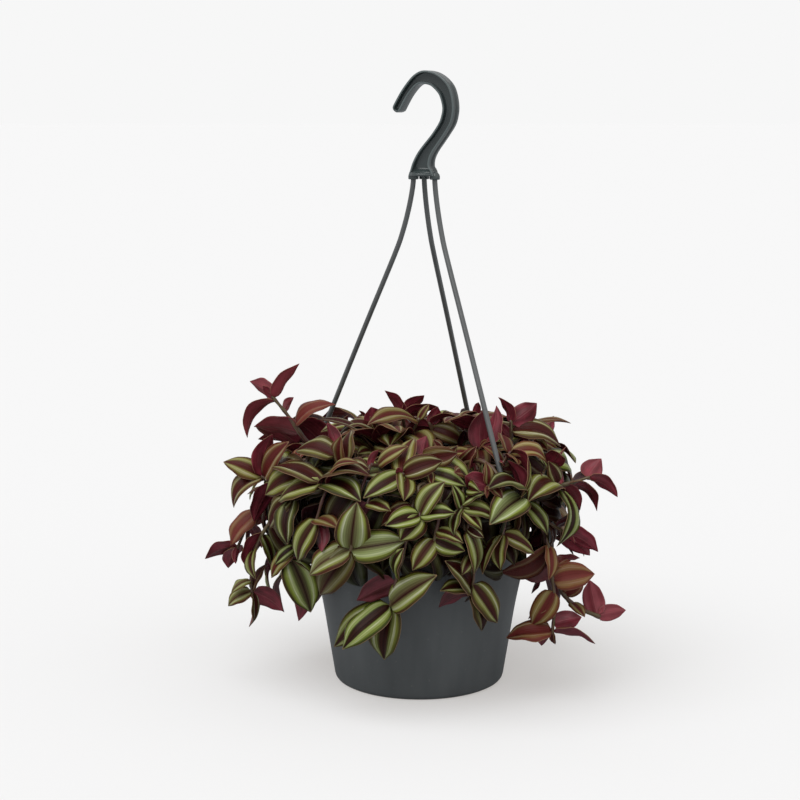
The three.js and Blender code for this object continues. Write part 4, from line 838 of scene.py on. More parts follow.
@dataclass
class Pot:
    """The moulded pot with its rim, ears, collar, foot and drain holes."""

    height: float = 150 * MM
    base_radius: float = 56.4 * MM
    slope: float = 0.164
    wall: float = 1.8 * MM
    collar_height: float = 64 * MM
    collar_step: float = 1.0 * MM
    collar_ease: float = 11 * MM
    rim_radius: float = 85 * MM
    rim_depth: float = 6 * MM
    foot_recess: float = 2.2 * MM
    floor: float = 2.2 * MM
    pad_radius: float = 18 * MM
    drains: int = 6
    drain_radius: float = 3.5 * MM
    drain_ring: float = 34 * MM
    ear_reach: float = 92.2 * MM
    ear_width: float = 11 * MM
    ear_top: float = 144.6 * MM
    ear_thickness: float = 3.4 * MM
    ear_corner: float = 3.2 * MM
    ear_hole: float = 2.2 * MM
    seat_radius: float = 87.2 * MM
    bearings: tuple[float, ...] = (35.5, 153.9, 232.7)
    sides: int = 144

    def wall_radius(self, height: float) -> float:
        """Outer radius of the lower wall at a height."""
        return self.base_radius + self.slope * height

    def profile(self) -> list[tuple[float, float]]:
        """The pot's section, from the middle of the underside round to the middle of the floor.

        Returns:
            (radius, height) of each point.
        """
        under = self.height - self.rim_depth
        floor_top = self.foot_recess + self.floor
        upper = self.wall_radius(under) + self.collar_step
        inner = self.wall_radius(self.height) - self.wall
        low, high = self.collar_height - self.collar_ease, self.collar_height + self.collar_ease
        return rounded([
            (0, 0, 0),
            (self.pad_radius, 0, 0.8 * MM),
            (self.pad_radius + 2 * MM, self.foot_recess, 0.8 * MM),
            (self.base_radius - 10 * MM, self.foot_recess, 0.8 * MM),
            (self.base_radius - 8 * MM, 0, 0.8 * MM),
            (self.wall_radius(0) + 0.3 * MM, 0, 4.2 * MM),
            (self.wall_radius(low), low, 10 * MM),
            (self.wall_radius(high) + self.collar_step, high, 10 * MM),
            (upper, under, 0.8 * MM),
            (self.rim_radius, under + 0.6 * MM, 0.7 * MM),
            (self.rim_radius, self.height, 1.0 * MM),
            (inner, self.height, 0.9 * MM),
            (self.wall_radius(floor_top + 4 * MM) - self.wall, floor_top + 4 * MM, 3 * MM),
            (self.wall_radius(floor_top) - self.wall - 3 * MM, floor_top, 2 * MM),
            (0, floor_top, 0),
        ])

    def ear(self, degrees: float) -> Piece:
        """One ear with rounded outer corners.

        Args:
            degrees: Its bearing round the pot.

        Returns:
            The ear.
        """
        inset = self.wall_radius(self.ear_top) - 1 * MM
        half, corner = self.ear_width / 2, self.ear_corner
        outline = [(-half, inset), (-half, self.ear_reach - corner)]
        for angle in np.radians(range(180, 75, -15)):
            outline.append((-half + corner + corner * math.cos(angle),
                            self.ear_reach - corner + corner * math.sin(angle)))
        outline += [(-x, y) for x, y in reversed(outline)]
        heights = (self.ear_top - self.ear_thickness, self.ear_top)
        points = np.array([(x, -reach, height) for height in heights for x, reach in outline])
        return solid("ear", points @ swing(math.radians(degrees)).T, closed_grid(2, len(outline)))

    def make(self, finishes: Finishes) -> None:
        """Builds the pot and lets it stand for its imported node.

        Args:
            finishes: Every finish.
        """
        pot = solid("pot_dressed", *turned(self.profile(), self.sides))
        cut(pot, [self.ear(degrees) for degrees in self.bearings], "UNION")
        bottom, top = self.ear_top - 9 * MM, self.ear_top + 2 * MM
        holes = [drill(around(degrees, self.seat_radius, 0), self.ear_hole, bottom, top)
                 for degrees in self.bearings]
        for number in range(self.drains):
            place = around(number * 360 / self.drains, self.drain_ring, 0)
            holes.append(drill(place, self.drain_radius, -1 * MM, 9 * MM))
        cut(pot, holes, "DIFFERENCE")
        pot.data.materials.clear()
        pot.data.materials.append(finishes.pot)
        sharpen(pot, 42)
        settle(pot, Slot.POT, "pot")


def solid(name: str, points: Array, faces: Sequence[Sequence[int]]) -> Piece:
    """An object from one closed body, with its faces turned outwards.

    Args:
        name: The object's name.
        points: Its points, one row each.
        faces: Its faces, by point number.

    Returns:
        The object.
    """
    mesh = bpy.data.meshes.new(name)
    mesh.from_pydata(points.tolist(), [], [tuple(face) for face in faces])
    work = bmesh.new()
    work.from_mesh(mesh)
    bmesh.ops.recalc_face_normals(work, faces=work.faces)
    work.to_mesh(mesh)
    work.free()
    return placed(name, mesh)


def joined(name: str, pieces: Sequence[Piece]) -> Piece:
    """One object from several closed bodies, which it takes the place of."""
    mesh = bpy.data.meshes.new(name)
    points, faces = gathered(pieces)
    mesh.from_pydata(points, [], faces)
    for piece in pieces:
        bpy.data.objects.remove(piece)
    return placed(name, mesh)


def drill(place: Array, radius: float, bottom: float, top: float) -> Piece:
    """A round bar that cuts a hole."""
    profile = [(0, bottom), (radius, bottom), (radius, top), (0, top)]
    return solid("drill", *turned(profile, 24, place))


@dataclass
class Hanger:
    """The open hook with its raised lips, its foot with three sockets, and the three thin legs.

    Its line lists (x, height, width) of the hook's band from the open end to the foot, and its
    sockets (x, y) of each leg's top, all in millimetres. Its bow lists (share of the way out to
    the ear, height in millimetres) of a leg.
    """

    axis_x: float = 2.7 * MM
    foot_height: float = 335 * MM
    plate_height: float = 337.4 * MM
    plate_radius: float = 9.2 * MM
    plate_thickness: float = 2.2 * MM
    boss_radius: float = 3.4 * MM
    boss_height: float = 4.8 * MM
    socket_depth: float = 3.2 * MM
    thickness: float = 9 * MM
    round_end: float = 2.9 * MM
    lip: float = 1.3 * MM
    recess: float = 3.7 * MM
    groove: float = 1.7 * MM
    turn: float = math.radians(-28)
    leg_radius: float = 1.7 * MM
    bulb_radius: float = 2.9 * MM
    bulb_tip: float = 1.2 * MM
    clearance: float = 0.3 * MM
    line: tuple[tuple[float, float, float], ...] = (
        (-19.3, 378.4, 5.4), (-17.7, 381.8, 6.0), (-12.5, 390.2, 5.9), (-7.2, 396.5, 6.2),
        (-2.9, 399.7, 7.2), (1.7, 400.7, 8.6), (8.5, 399.2, 8.9), (14.2, 394.9, 9.3),
        (17.4, 390.0, 9.0), (19.3, 381.3, 8.3), (18.0, 373.6, 8.3), (15.2, 368.3, 7.8),
        (10.1, 361.4, 7.8), (5.4, 355.7, 8.4), (1.7, 350.1, 10.0), (-0.3, 344.3, 12.8),
        (-0.4, 339.5, 16.8), (-0.4, 337.4, 17.8),
    )
    bow: tuple[tuple[float, float], ...] = (
        (0, 337.9), (0.005, 331), (0.043, 317), (0.105, 301), (0.19, 285), (0.5, 235), (0.87, 174),
        (0.975, 157), (1, 150),
    )
    sockets: dict[str, tuple[float, float]] = field(default_factory=lambda: {
        "right": (6.9, -3.6), "back": (0.2, 6.2), "left": (-6.9, 3.2)})
    socket_radius: float = 2.1 * MM
    # Faces of the raised lips, which take the painted highlight.
    lip_highlight_faces: tuple[int, ...] = (*range(3, 8), *range(17, 22), *range(24, 29), *range(38, 43))

    def socket(self, side: str) -> Array:
        """Where a leg stands in the hook's foot."""
        x, y = self.sockets[side]
        return np.array((x * MM + self.axis_x, y * MM, 0))

    def band(self) -> tuple[Array, list]:
        """The hook's band: a section with raised lips, swept along its line.

        Returns:
            Its points and faces.
        """
        rows = np.array([(x * MM, z * MM, width * MM) for x, z, width in self.line])
        path = smooth_line(rows, 0.3 * MM)
        reached = travelled(path[:, :2])
        along = np.gradient(path[:, :2], axis=0)
        kept = [index for index in range(len(path)) if reached[index] < 4 * MM or index % 4 == 0]
        kept += [len(path) - 1] if kept[-1] != len(path) - 1 else []
        points = []
        for index in kept:
            direction = along[index] / norm(along[index])
            across = np.array((-direction[1], direction[0]))
            from_tip, to_end = reached[index], reached[-1] - reached[index]
            bend = math.sqrt(1 - (1 - min(from_tip / self.round_end, 1)) ** 2)
            half = path[index, 2] / 2 * max(bend, 0.2)
            depth = self.thickness / 2 * (0.66 + 0.34 * bend)
            share = float(ease(1.2 * MM, 2.6 * MM, from_tip) * ease(1.5 * MM, 5 * MM, to_end))
            recess = self.recess * share * depth / (self.thickness / 2)
            for x, y in self.section(half, depth, recess, share):
                flat = path[index, :2] + across * x
                points.append((flat[0], y, flat[1]))
        return np.array(points), closed_grid(len(kept), len(points) // len(kept))

    def section(self, half: float, depth: float, recess: float,
                share: float) -> list[tuple[float, float]]:
        """The band's section: soft corners, lips either side of a web, and the outer groove.

        Args:
            half: Half the band's width.
            depth: Half its thickness.
            recess: How deep the web lies.
            share: How far the groove is open.

        Returns:
            Its points as (across, depth), the outer edge's middle first.
        """
        soft = min(0.55 * MM, 0.4 * half)
        inside = max(half - self.lip, 0.3 * half)
        lip = [(half, depth - soft), (half - 0.1 * soft, depth - 0.45 * soft),
               (half - 0.45 * soft, depth - 0.1 * soft), (half - soft, depth),
               (inside + 0.25 * soft, depth), (inside + 0.05 * soft, depth - 0.12 * recess),
               (inside, depth - 0.3 * recess), (inside - 0.1 * MM, depth - 0.8 * recess),
               (inside - 0.3 * MM, depth - 0.95 * recess), (inside * 0.6, depth - recess)]
        groove = self.groove * share
        edge = [(half - groove, 0.0), (half - groove, 0.16 * depth), (half, 0.4 * depth)]
        upper = edge + lip + [(-x, y) for x, y in reversed(lip)] + [(-half, 0.0)]
        return upper + [(x, -y) for x, y in reversed(upper[1:-1])]

    def base(self) -> list[Piece]:
        """The foot's plate and the boss round each socket.

        Returns:
            The plate first, then the bosses.
        """
        bottom, top = self.plate_height, self.plate_height + self.plate_thickness
        plate = rounded([
            (0, bottom, 0),
            (self.plate_radius, bottom, 0.7 * MM),
            (self.plate_radius, top - 0.6 * MM, 0.6 * MM),
            (self.plate_radius - 1.6 * MM, top, 0.8 * MM),
            (0, top + 0.3 * MM, 0),
        ])
        bottom, top = self.foot_height, self.foot_height + self.boss_height
        boss = rounded([
            (0, bottom, 0),
            (self.boss_radius, bottom, 0.7 * MM),
            (self.boss_radius, top - 2 * MM, 1 * MM),
            (self.boss_radius - 1.4 * MM, top, 1.2 * MM),
            (0, top + 0.2 * MM, 0),
        ])
        bosses = [solid("boss", *turned(boss, 28, self.socket(side))) for side in self.sockets]
        return [solid("foot", *turned(plate, 56, np.array((self.axis_x, 0, 0)))), *bosses]

    def make(self, finishes: Finishes) -> None:
        """Builds the hook and the legs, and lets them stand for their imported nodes.

        Args:
            finishes: Every finish.
        """
        points, faces = self.band()
        band = solid("band", points @ swing(self.turn).T + np.array((self.axis_x, 0, 0)), faces)
        foot, *bosses = self.base()
        cut(foot, bosses, "UNION")
        bottom, top = self.foot_height - 1 * MM, self.foot_height + self.socket_depth
        bores = [drill(self.socket(side), self.socket_radius, bottom, top) for side in self.sockets]
        cut(foot, bores, "DIFFERENCE")
        hook = joined("hook_dressed", [band, foot])
        hook.data.materials.append(finishes.hook)
        # The raised lips take the lighter satin, a painted highlight along their edges.
        hook.data.materials.append(finishes.lip)
        corners = len(faces[-1])
        for face in list(hook.data.polygons)[:len(faces) - 2]:
            face.material_index = int(face.index % corners in self.lip_highlight_faces)
        sharpen(hook, 50)
        settle(hook, Slot.HANGER, "hook")
        for side, bearing in zip(("right", "back", "left"), Pot().bearings):
            self.leg(side, bearing, finishes)

    def leg(self, side: str, bearing: float, finishes: Finishes) -> None:
        """One leg from the hook's foot to the bulb under its ear.

        Args:
            side: The leg's name.
            bearing: Its bearing round the pot.
            finishes: Every finish.
        """
        pot = Pot()
        under = pot.ear_top - pot.ear_thickness
        seat, socket = around(bearing, pot.seat_radius, 0), self.socket(side)
        path = [socket + (seat - socket) * share + UP * height * MM for share, height in self.bow]
        tail = [seat + UP * (under + share * (pot.height - under)) for share in (0.6, 0.1)]
        line = np.vstack([smooth_line(np.array(path), 4 * MM), tail])
        mould = Mould(f"leg_{side}_dressed")
        mould.add(*tube(line, np.full(len(line), self.leg_radius), 14)[:2])
        mould.add(*turned(rounded([
            (0, under - 4.9 * MM, 0),
            (self.bulb_tip, under - 4.7 * MM, 0.6 * MM),
            (self.bulb_radius, under - 2 * MM, 1 * MM),
            (self.bulb_radius, under - self.clearance, 0.3 * MM),
            (self.bulb_tip, under - self.clearance, 0),
            (0, under - self.clearance, 0),
        ]), 20, seat))
        leg = mould.make([finishes.leg])
        sharpen(leg, 50)
        settle(leg, Slot.HANGER, f"leg_{side}")


@dataclass
class Soil:
    """The compost: a lumpy surface with crumbs on it."""

    top: float = 138 * MM
    sides: int = 72
    crumbs: int = 420
    crumb_size: tuple[float, float] = (0.8, 2.6)
    seed: int = 11
    rough: float = 1.5 * MM
    gap: float = 0.6 * MM
    edge_drop: float = 2 * MM

    def make(self, finishes: Finishes) -> None:
        """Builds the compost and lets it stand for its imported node.

        Args:
            finishes: Every finish.
        """
        pot = Pot()
        bottom = pot.foot_recess + pot.floor + 0.3 * MM
        edge = pot.wall_radius(self.top) - pot.wall - self.gap
        profile = [(0, bottom), (pot.wall_radius(bottom) - pot.wall - 3.7 * MM, bottom),
                   (pot.wall_radius(bottom + 4 * MM) - pot.wall - self.gap, bottom + 4 * MM),
                   (edge, self.top - 3 * MM)]
        profile += [(edge * share, self.top - self.edge_drop * share ** 3)
                    for share in np.linspace(0.985, 0.02, 34)]
        profile.append((0, self.top))
        points, faces = turned(profile, self.sides)
        for point in points:
            if point[2] > self.top - 2.6 * MM:
                lumps = noise(Vector(point * 90)) + 0.6 * noise(Vector(point * 310))
                point[2] += lumps * self.rough
        mould = Mould("soil_dressed")
        mould.add(points, faces)
        stream = random.Random(self.seed)
        for _ in range(self.crumbs):
            self.crumb(mould, stream, edge)
        settle(mould.make([finishes.compost]), Slot.SOIL, "soil")

    def crumb(self, mould: Mould, stream: random.Random, edge: float) -> None:
        """One crumb, sunk halfway into the surface.

        Args:
            mould: The compost's own piece.
            stream: The random draws.
            edge: Radius of the surface.
        """
        reach = (edge - 5 * MM) * math.sqrt(stream.random())
        centre = around(stream.uniform(0, 360), reach, self.top + stream.uniform(-0.6, 0.6) * MM)
        size = stream.uniform(*self.crumb_size) * MM
        stretch = np.array([stream.uniform(*span) for span in ((0.6, 1.5), (0.6, 1.4), (0.5, 0.9))])
        corners = ((1, 0, 0), (-1, 0, 0), (0, 1, 0), (0, -1, 0), (0, 0, 1), (0, 0, -1))
        points = np.array(corners, float)
        points *= 1 + np.array([[stream.uniform(-0.25, 0.25)] for _ in range(6)])
        turn = swing(stream.uniform(0, math.pi))
        faces = [(0, 2, 4), (2, 1, 4), (1, 3, 4), (3, 0, 4),
                 (2, 0, 5), (1, 2, 5), (3, 1, 5), (0, 3, 5)]
        mould.add((points * stretch) @ turn.T * size + centre, faces)


# ---- Leaves and stems ----


@dataclass
class Blade:
    """One leaf: its midrib runs from base by reach, and bulges by rise towards its upper side."""

    base: Array
    reach: Array
    rise: Array
    across: Array
    width: float
    silver: float = 0.5
    blush: float = 0.0
    # Painted shade: how far the leaf's colour is drawn towards near black where its neighbours hide
    # the sky.
    shade: float = 0.0
    inner: bool = False

    def midrib(self, share: Array | float) -> Array:
        """Points of the midrib at shares of its length."""
        share = np.atleast_1d(share)[:, None]
        return self.base + self.reach * share + self.rise * share * (1 - share)

    def uprights(self, share: Array) -> Array:
        """The way the upper side faces at shares of the length."""
        tangents = self.reach + self.rise * (1 - 2 * share[:, None])
        upright = np.cross(tangents, self.across)
        upright /= norm(upright, axis=1, keepdims=True)
        return upright * (1 if np.dot(upright[len(share) // 2], self.rise) >= 0 else -1)

    @property
    def length(self) -> float:
        """Straight length from base to tip."""
        return float(norm(self.reach))

    @property
    def tip(self) -> Array:
        """The point of the leaf."""
        return self.base + self.reach


@dataclass
class LeafForm:
    """The finer form of a leaf: rounded shoulders, drip tip, pillowed halves and wavy edge."""

    sections: int = 14
    strips: int = 8
    thick: float = 0.55 * MM
    thin: float = 0.22 * MM
    fullness: float = 1.1
    shoulder: float = 0.44
    narrowing: float = 0.7
    peak: float = 0.4656
    drip: float = 0.34
    blunt: float = 0.012
    pivot: float = 0.36
    # Ranges of turn in degrees, fold, pillow, wave and its phase, droop, bow and skew
    ranges: tuple[tuple[float, float], ...] = (
        (-14, 14), (0.04, 0.32), (0.12, 0.22), (0.03, 0.08), (0, math.tau), (-0.01, 0.06),
        (-0.05, 0.05), (-0.06, 0.06))

    def spread(self, share: Array) -> Array:
        """Half width at shares of the length, against its widest."""
        share = np.clip(share, 0.0, 1.0)
        body = share ** self.shoulder * (1 - share) ** self.narrowing / self.peak
        return np.maximum(body * (1 - self.drip * ease(0.72, 0.98, share)), self.blunt)

    def surfaces(self, blade: Blade, stream: random.Random) -> tuple[Array, Array, Array]:
        """Upper and lower points of one leaf.

        Args:
            blade: The leaf.
            stream: Its own random draws.

        Returns:
            Upper points and lower points by section and strip, and the places of both.
        """
        along = np.linspace(0, 1, self.sections + 1) ** 0.94
        across = np.linspace(-1, 1, self.strips + 1)
        across = np.sign(across) * np.abs(across) ** 0.85
        half = self.spread(along) * blade.width / 2 * self.fullness
        draws = (stream.uniform(*span) for span in self.ranges)
        turn, fold, pillow, wave, phase, droop, bow, skew = draws
        upright = blade.uprights(along)
        aside = 4 * along * (1 - along) * (bow * blade.length)
        spine = blade.midrib(along) + np.outer(aside, blade.across)
        spine -= upright * (ease(0.55, 1.0, along) * (droop * blade.length))[:, None]
        angle = math.radians(turn) * (along - self.pivot)[:, None]
        side = blade.across * np.cos(angle) + upright * np.sin(angle)
        lift = upright * np.cos(angle) - blade.across * np.sin(angle)
        flank = np.abs(across)
        cup = fold * (np.sqrt(flank ** 2 + 0.01) - 0.45) + pillow * np.sin(math.pi * flank ** 0.9)
        ripple = wave * np.outer(np.sin(along * 9 + phase), across ** 2)
        ripple += wave * np.outer(np.sin(along * 13 + phase * 2), across ** 2 * np.sign(across))
        height = (cup[None, :] + ripple) * half[:, None]
        reach = half[:, None] * (across + skew * (1 - across ** 2))[None, :]
        middle = spine[:, None] + side[:, None] * reach[..., None]
        middle += lift[:, None] * height[..., None]
        taper = ease(0, 0.12, 1 - along)[:, None]
        thickness = (self.thin + (self.thick - self.thin) * (1 - across ** 2))[None, :]
        offset = lift[:, None] * (thickness * (0.35 + 0.65 * taper))[..., None] / 2
        places = [*np.meshgrid(along, across, indexing="ij"), np.full_like(height, stream.random())]
        return middle + offset, middle - offset, np.stack(places, axis=-1)

    def faces(self) -> tuple[list[tuple[int, ...]], list[int]]:
        """Faces of one closed leaf and the finish of each: 0 above, 1 below.

        Returns:
            The faces, and a finish for each.
        """
        rows, columns = self.sections + 1, self.strips + 1
        count = rows * columns
        upper = grid_faces(rows, columns)
        lower = [tuple(count + corner for corner in reversed(face)) for face in upper]
        border = [row * columns for row in range(rows)]
        border += [(rows - 1) * columns + column for column in range(1, columns)]
        border += [row * columns + columns - 1 for row in range(rows - 2, -1, -1)]
        border += [column for column in range(columns - 2, 0, -1)]
        rim = [(first, second, second + count, first + count)
               for first, second in zip(border, border[1:] + border[:1])]
        return upper + lower + rim, [0] * len(upper) + [1] * len(lower) + [0] * len(rim)

    def add(self, mould: Mould, blade: Blade, stream: random.Random) -> None:
        """Adds one leaf to a piece.

        Args:
            mould: The piece.
            blade: The leaf.
            stream: The stem's own random draws.
        """
        upper, lower, places = self.surfaces(blade, stream)
        faces, finishes = self.faces()
        outward = np.cross(upper[4, 4] - upper[3, 4], upper[3, 5] - upper[3, 4])
        if np.dot(outward, upper[3, 4] - lower[3, 4]) > 0:
            faces = [tuple(reversed(face)) for face in faces]
        points, places = (np.concatenate([first.reshape(-1, 3), second.reshape(-1, 3)])
                          for first, second in ((upper, lower), (places, places)))
        mould.add(points, faces, finishes, places, (blade.silver, blade.blush, blade.shade))


class PackedStem:
    """Reads the leaves and the stem lines of one packed leafy stem from its mesh.

    A packed leaf is a plate with a section at two shares of its length, WIDEST and NARROW, and its
    width at the second is a share of the first. A packed stem is a rod with three sides.
    """

    RING_SIDE = 1.5 * MM * math.sqrt(3)
    THICKNESS = 0.8 * MM
    TOLERANCE = 0.03 * MM
    WIDEST, NARROW = 0.36, 0.72
    NARROW_WIDTH = 0.64
    FURTHEST_STEP = 26 * MM
    FURTHEST_FORK = 30 * MM
    SOIL_TOP = 139 * MM

    def __init__(self, name: str) -> None:
        """Welds the node's mesh and lists each point's neighbours.

        Args:
            name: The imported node's name.
        """
        work = bmesh.new()
        work.from_mesh(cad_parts[name].data)
        bmesh.ops.remove_doubles(work, verts=work.verts, dist=0.01 * MM)
        work.verts.index_update()
        self.points = np.array([vertex.co for vertex in work.verts])
        self.near = [{edge.other_vert(vertex).index for edge in vertex.link_edges}
                     for vertex in work.verts]
        work.free()
        self.used: set[int] = set()
        self.blades = self.read_blades()
        self.lines = self.read_lines()

    def thickness_off(self, first: int, second: int) -> float:
        """How far the gap between two points is from a blade's thickness."""
        return abs(norm(self.points[first] - self.points[second]) - self.THICKNESS)

    def pairs(self, corners: Sequence[int]) -> tuple[Array, Array] | None:
        """Middles of the two edges of a blade's section, if its four corners make one.

        Args:
            corners: Numbers of the corners.

        Returns:
            The two middles, or None.
        """
        if len(corners) != 4:
            return None
        first, *others = corners
        second = min(others, key=lambda other: self.thickness_off(first, other))
        others.remove(second)
        if max(self.thickness_off(first, second), self.thickness_off(*others)) > self.TOLERANCE:
            return None
        return (self.points[first] + self.points[second]) / 2, self.points[others].mean(axis=0)

    def read_blades(self) -> list[Blade]:
        """Every leaf whose point and next section can be found.

        Returns:
            The leaves.
        """
        blades = []
        for index, neighbours in enumerate(self.near):
            narrow = self.pairs(sorted(neighbours))
            if narrow is None or norm(narrow[0] - narrow[1]) < 2 * MM:
                continue
            reached = set().union(*(self.near[corner] for corner in neighbours))
            beyond = reached - neighbours - {index}
            blades.append(self.blade_from(index, narrow, sorted(beyond)))
            self.used |= {index, *neighbours, *(beyond if len(beyond) == 4 else ())}
        return blades

    def blade_from(self, tip: int, narrow: tuple[Array, Array], beyond: list[int]) -> Blade:
        """Works out one leaf's midrib and width from its sections.

        Args:
            tip: Number of the leaf's point.
            narrow: Edge middles of the section next to it.
            beyond: Corners of the widest section.

        Returns:
            The leaf.
        """
        point, middle = self.points[tip], (narrow[0] + narrow[1]) / 2
        across = unit(narrow[1] - narrow[0])
        width = float(norm(narrow[1] - narrow[0])) / self.NARROW_WIDTH
        widest = self.pairs(beyond)
        near, far = self.NARROW * (1 - self.NARROW), self.WIDEST * (1 - self.WIDEST)
        if widest is None:
            length = norm(point - middle) / (1 - self.NARROW)
            lift = unit(np.cross(point - middle, across)) * 0.4 * length
            lift *= 1 if np.dot(lift, UP) > 0 else -1
        else:
            short, long = point - middle, point - (widest[0] + widest[1]) / 2
            scale = (1 - self.WIDEST) / (1 - self.NARROW)
            lift = (long - scale * short) / (scale * near - far)
        reach = (point - middle + near * lift) / (1 - self.NARROW)
        return Blade(point - reach, reach, lift, across, width)

    def rings(self) -> tuple[Array, list[set[int]]]:
        """Centres and corners of the stem's three-sided sections.

        Returns:
            The centres, and the set of corners of each section.
        """
        rest = [index for index in range(len(self.points)) if index not in self.used]
        tree = point_tree((index, self.points[index]) for index in rest)
        partners: dict[int, set[int]] = {}
        least, most = self.RING_SIDE - self.TOLERANCE, self.RING_SIDE + self.TOLERANCE
        for index in rest:
            found = tree.find_range(self.points[index], most)
            partners[index] = {other for _, other, gap in found if gap > least}
        centres, corners, taken = [], [], set()
        for first in rest:
            for second in sorted(partners[first]):
                for third in sorted(partners[first] & partners[second]):
                    trio = {first, second, third}
                    if first < second < third and not trio & taken:
                        centres.append(self.points[sorted(trio)].mean(axis=0))
                        corners.append(trio)
                        taken |= trio
        return np.array(centres), corners

    def read_lines(self) -> list[Array]:
        """Centre lines of the stem and its side shoots, from the root or the fork to the end.

        Returns:
            The lines, the stem's own first.
        """
        centres, corners = self.rings()
        if len(centres) < 2:
            return []
        normals = []
        for trio in corners:
            a, b, c = self.points[sorted(trio)]
            normals.append(unit(np.cross(b - a, c - a)))
        links = []
        for first, second in itertools.combinations(range(len(centres)), 2):
            gap = centres[second] - centres[first]
            distance = float(norm(gap))
            if distance > self.FURTHEST_STEP:
                continue
            straight = min(abs(np.dot(gap / distance, normals[end])) for end in (first, second))
            meetings = itertools.product(corners[first], corners[second])
            touch = any(corner in self.near[other] for corner, other in meetings)
            if straight > 0.5:
                links.append((distance * (2.2 - straight) * (0.4 if touch else 1.0), first, second))
        return self.chains(centres, sorted(links))

    def chains(self, centres: Array, links: list[tuple[float, int, int]]) -> list[Array]:
        """Strings the sections into lines.

        Args:
            centres: Centres of the sections.
            links: Possible steps between them, cheapest first.

        Returns:
            The lines, the stem's own first.
        """
        group = list(range(len(centres)))
        joined: dict[int, list[int]] = {index: [] for index in group}
        for _, first, second in links:
            if group[first] != group[second] and len(joined[first]) < 2 and len(joined[second]) < 2:
                joined[first].append(second)
                joined[second].append(first)
                old, new = group[second], group[first]
                group = [new if mark == old else mark for mark in group]
        lines = []
        for mark in sorted(set(group)):
            members = [index for index in range(len(centres)) if group[index] == mark]
            ends = [index for index in members if len(joined[index]) < 2]
            order, previous = [min(ends, key=lambda index: centres[index][2])], None
            while onward := [index for index in joined[order[-1]] if index != previous]:
                previous = order[-1]
                order.append(onward[0])
            lines.append(centres[order])
        lines.sort(key=len, reverse=True)
        return self.forked(lines)

    def forked(self, lines: list[Array]) -> list[Array]:
        """Joins each side shoot to the line that it springs from.

        Args:
            lines: The lines, the stem's own first.

        Returns:
            The same lines, each from its root or fork.
        """
        known = [self.rooted(lines[0])]
        for line in lines[1:]:
            trunk = np.vstack([smooth_line(other, 1.5 * MM) for other in known])
            gaps = [np.min(norm(trunk - end, axis=1)) for end in (line[0], line[-1])]
            if gaps[1] < gaps[0]:
                line = line[::-1]
            if min(gaps) < self.FURTHEST_FORK:
                start = nearest(trunk, line[0])
                if norm(start - line[0]) > 1 * MM:
                    line = np.vstack([start, line])
            if len(line) > 1:
                known.append(line)
        return known

    def rooted(self, line: Array) -> Array:
        """Turns the stem's line so that it starts in the compost."""
        first, last = (np.hypot(x, y) + max(z - self.SOIL_TOP, 0) * 3
                       for x, y, z in (line[0], line[-1]))
        return line if first <= last else line[::-1]


class Canopy:
    """Every leaf so far, as coarse sheets that a new leaf can be tried against."""

    SHARES = np.array((0.1, 0.3, 0.55, 0.78, 1.0))
    SKY_POINTS = (0.35, 0.65, 0.9)
    SKY_REACH = 42 * MM
    SKY_START = 1.5 * MM
    SKY = np.array([
        (0.0, 0.0, 0.0), (0.9, 0, 0), (-0.9, 0, 0), (0, 0.9, 0), (0, -0.9, 0), (0, 0, 0.9),
        (0.55, 0.55, 0.3), (-0.55, 0.55, 0.3), (0.55, -0.55, 0.3), (-0.55, -0.55, 0.3)])

    def __init__(self, fixed: Iterable[Piece]) -> None:
        """Starts with the solids that no new leaf may cross."""
        self.points: list[tuple[float, float, float]] = []
        self.faces: list[tuple[int, ...]] = []
        self.fixed = BVHTree.FromPolygons(*gathered(fixed))
        self.known: BVHTree | None = None

    @property
    def tree(self) -> BVHTree:
        """The leaves so far, for quick search."""
        if self.known is None:
            self.known = BVHTree.FromPolygons(self.points, self.faces)
        return self.known

    def sheet(self, blade: Blade) -> tuple[list, list]:
        """A leaf as a coarse sheet of three points by five."""
        spine = blade.midrib(self.SHARES)
        half = LeafForm().spread(self.SHARES) * blade.width / 2
        rows = [spine + np.outer(half * side, blade.across) for side in (-1, 0, 1)]
        points = np.stack(rows, axis=1).reshape(-1, 3)
        return [tuple(point) for point in points], grid_faces(len(self.SHARES), 3)

    def add(self, blade: Blade) -> None:
        """Takes a leaf in."""
        points, faces = self.sheet(blade)
        start = len(self.points)
        self.points += points
        self.faces += [tuple(start + corner for corner in face) for face in faces]
        self.known = None

    def is_free(self, blade: Blade) -> bool:
        """Whether a new leaf crosses nothing."""
        sheet = BVHTree.FromPolygons(*self.sheet(blade))
        return not sheet.overlap(self.tree) and not sheet.overlap(self.fixed)

    def is_line_free(self, line: Array) -> bool:
        """Whether a shoot passes clear of the pot, the legs and the compost."""
        for start, end in zip(line[2::3], line[5::3]):
            step = Vector(end - start)
            if self.fixed.ray_cast(Vector(start), step.normalized(), step.length)[0] is not None:
                return False
        return True

    def covers(self, origin: Vector, direction: Vector, limit: float) -> bool:
        """Whether a leaf lies on a line of sight before a distance."""
        return self.tree.ray_cast(origin, direction, limit)[0] is not None

    def buried(self, blade: Blade) -> float:
        """How much of the sky over a leaf its neighbours hide, 0 to 1.

        Args:
            blade: The leaf.

        Returns:
            The hidden share.
        """
        outward = unit(radial(blade.tip) * 1.1 + UP)
        blocked = 0
        for point in blade.midrib(self.SKY_POINTS):
            for ray in self.SKY:
                way = unit(ray + outward)
                start = Vector(point + way * self.SKY_START)
                blocked += self.covers(start, Vector(way), self.SKY_REACH)
        return blocked / (len(self.SKY) * len(self.SKY_POINTS))


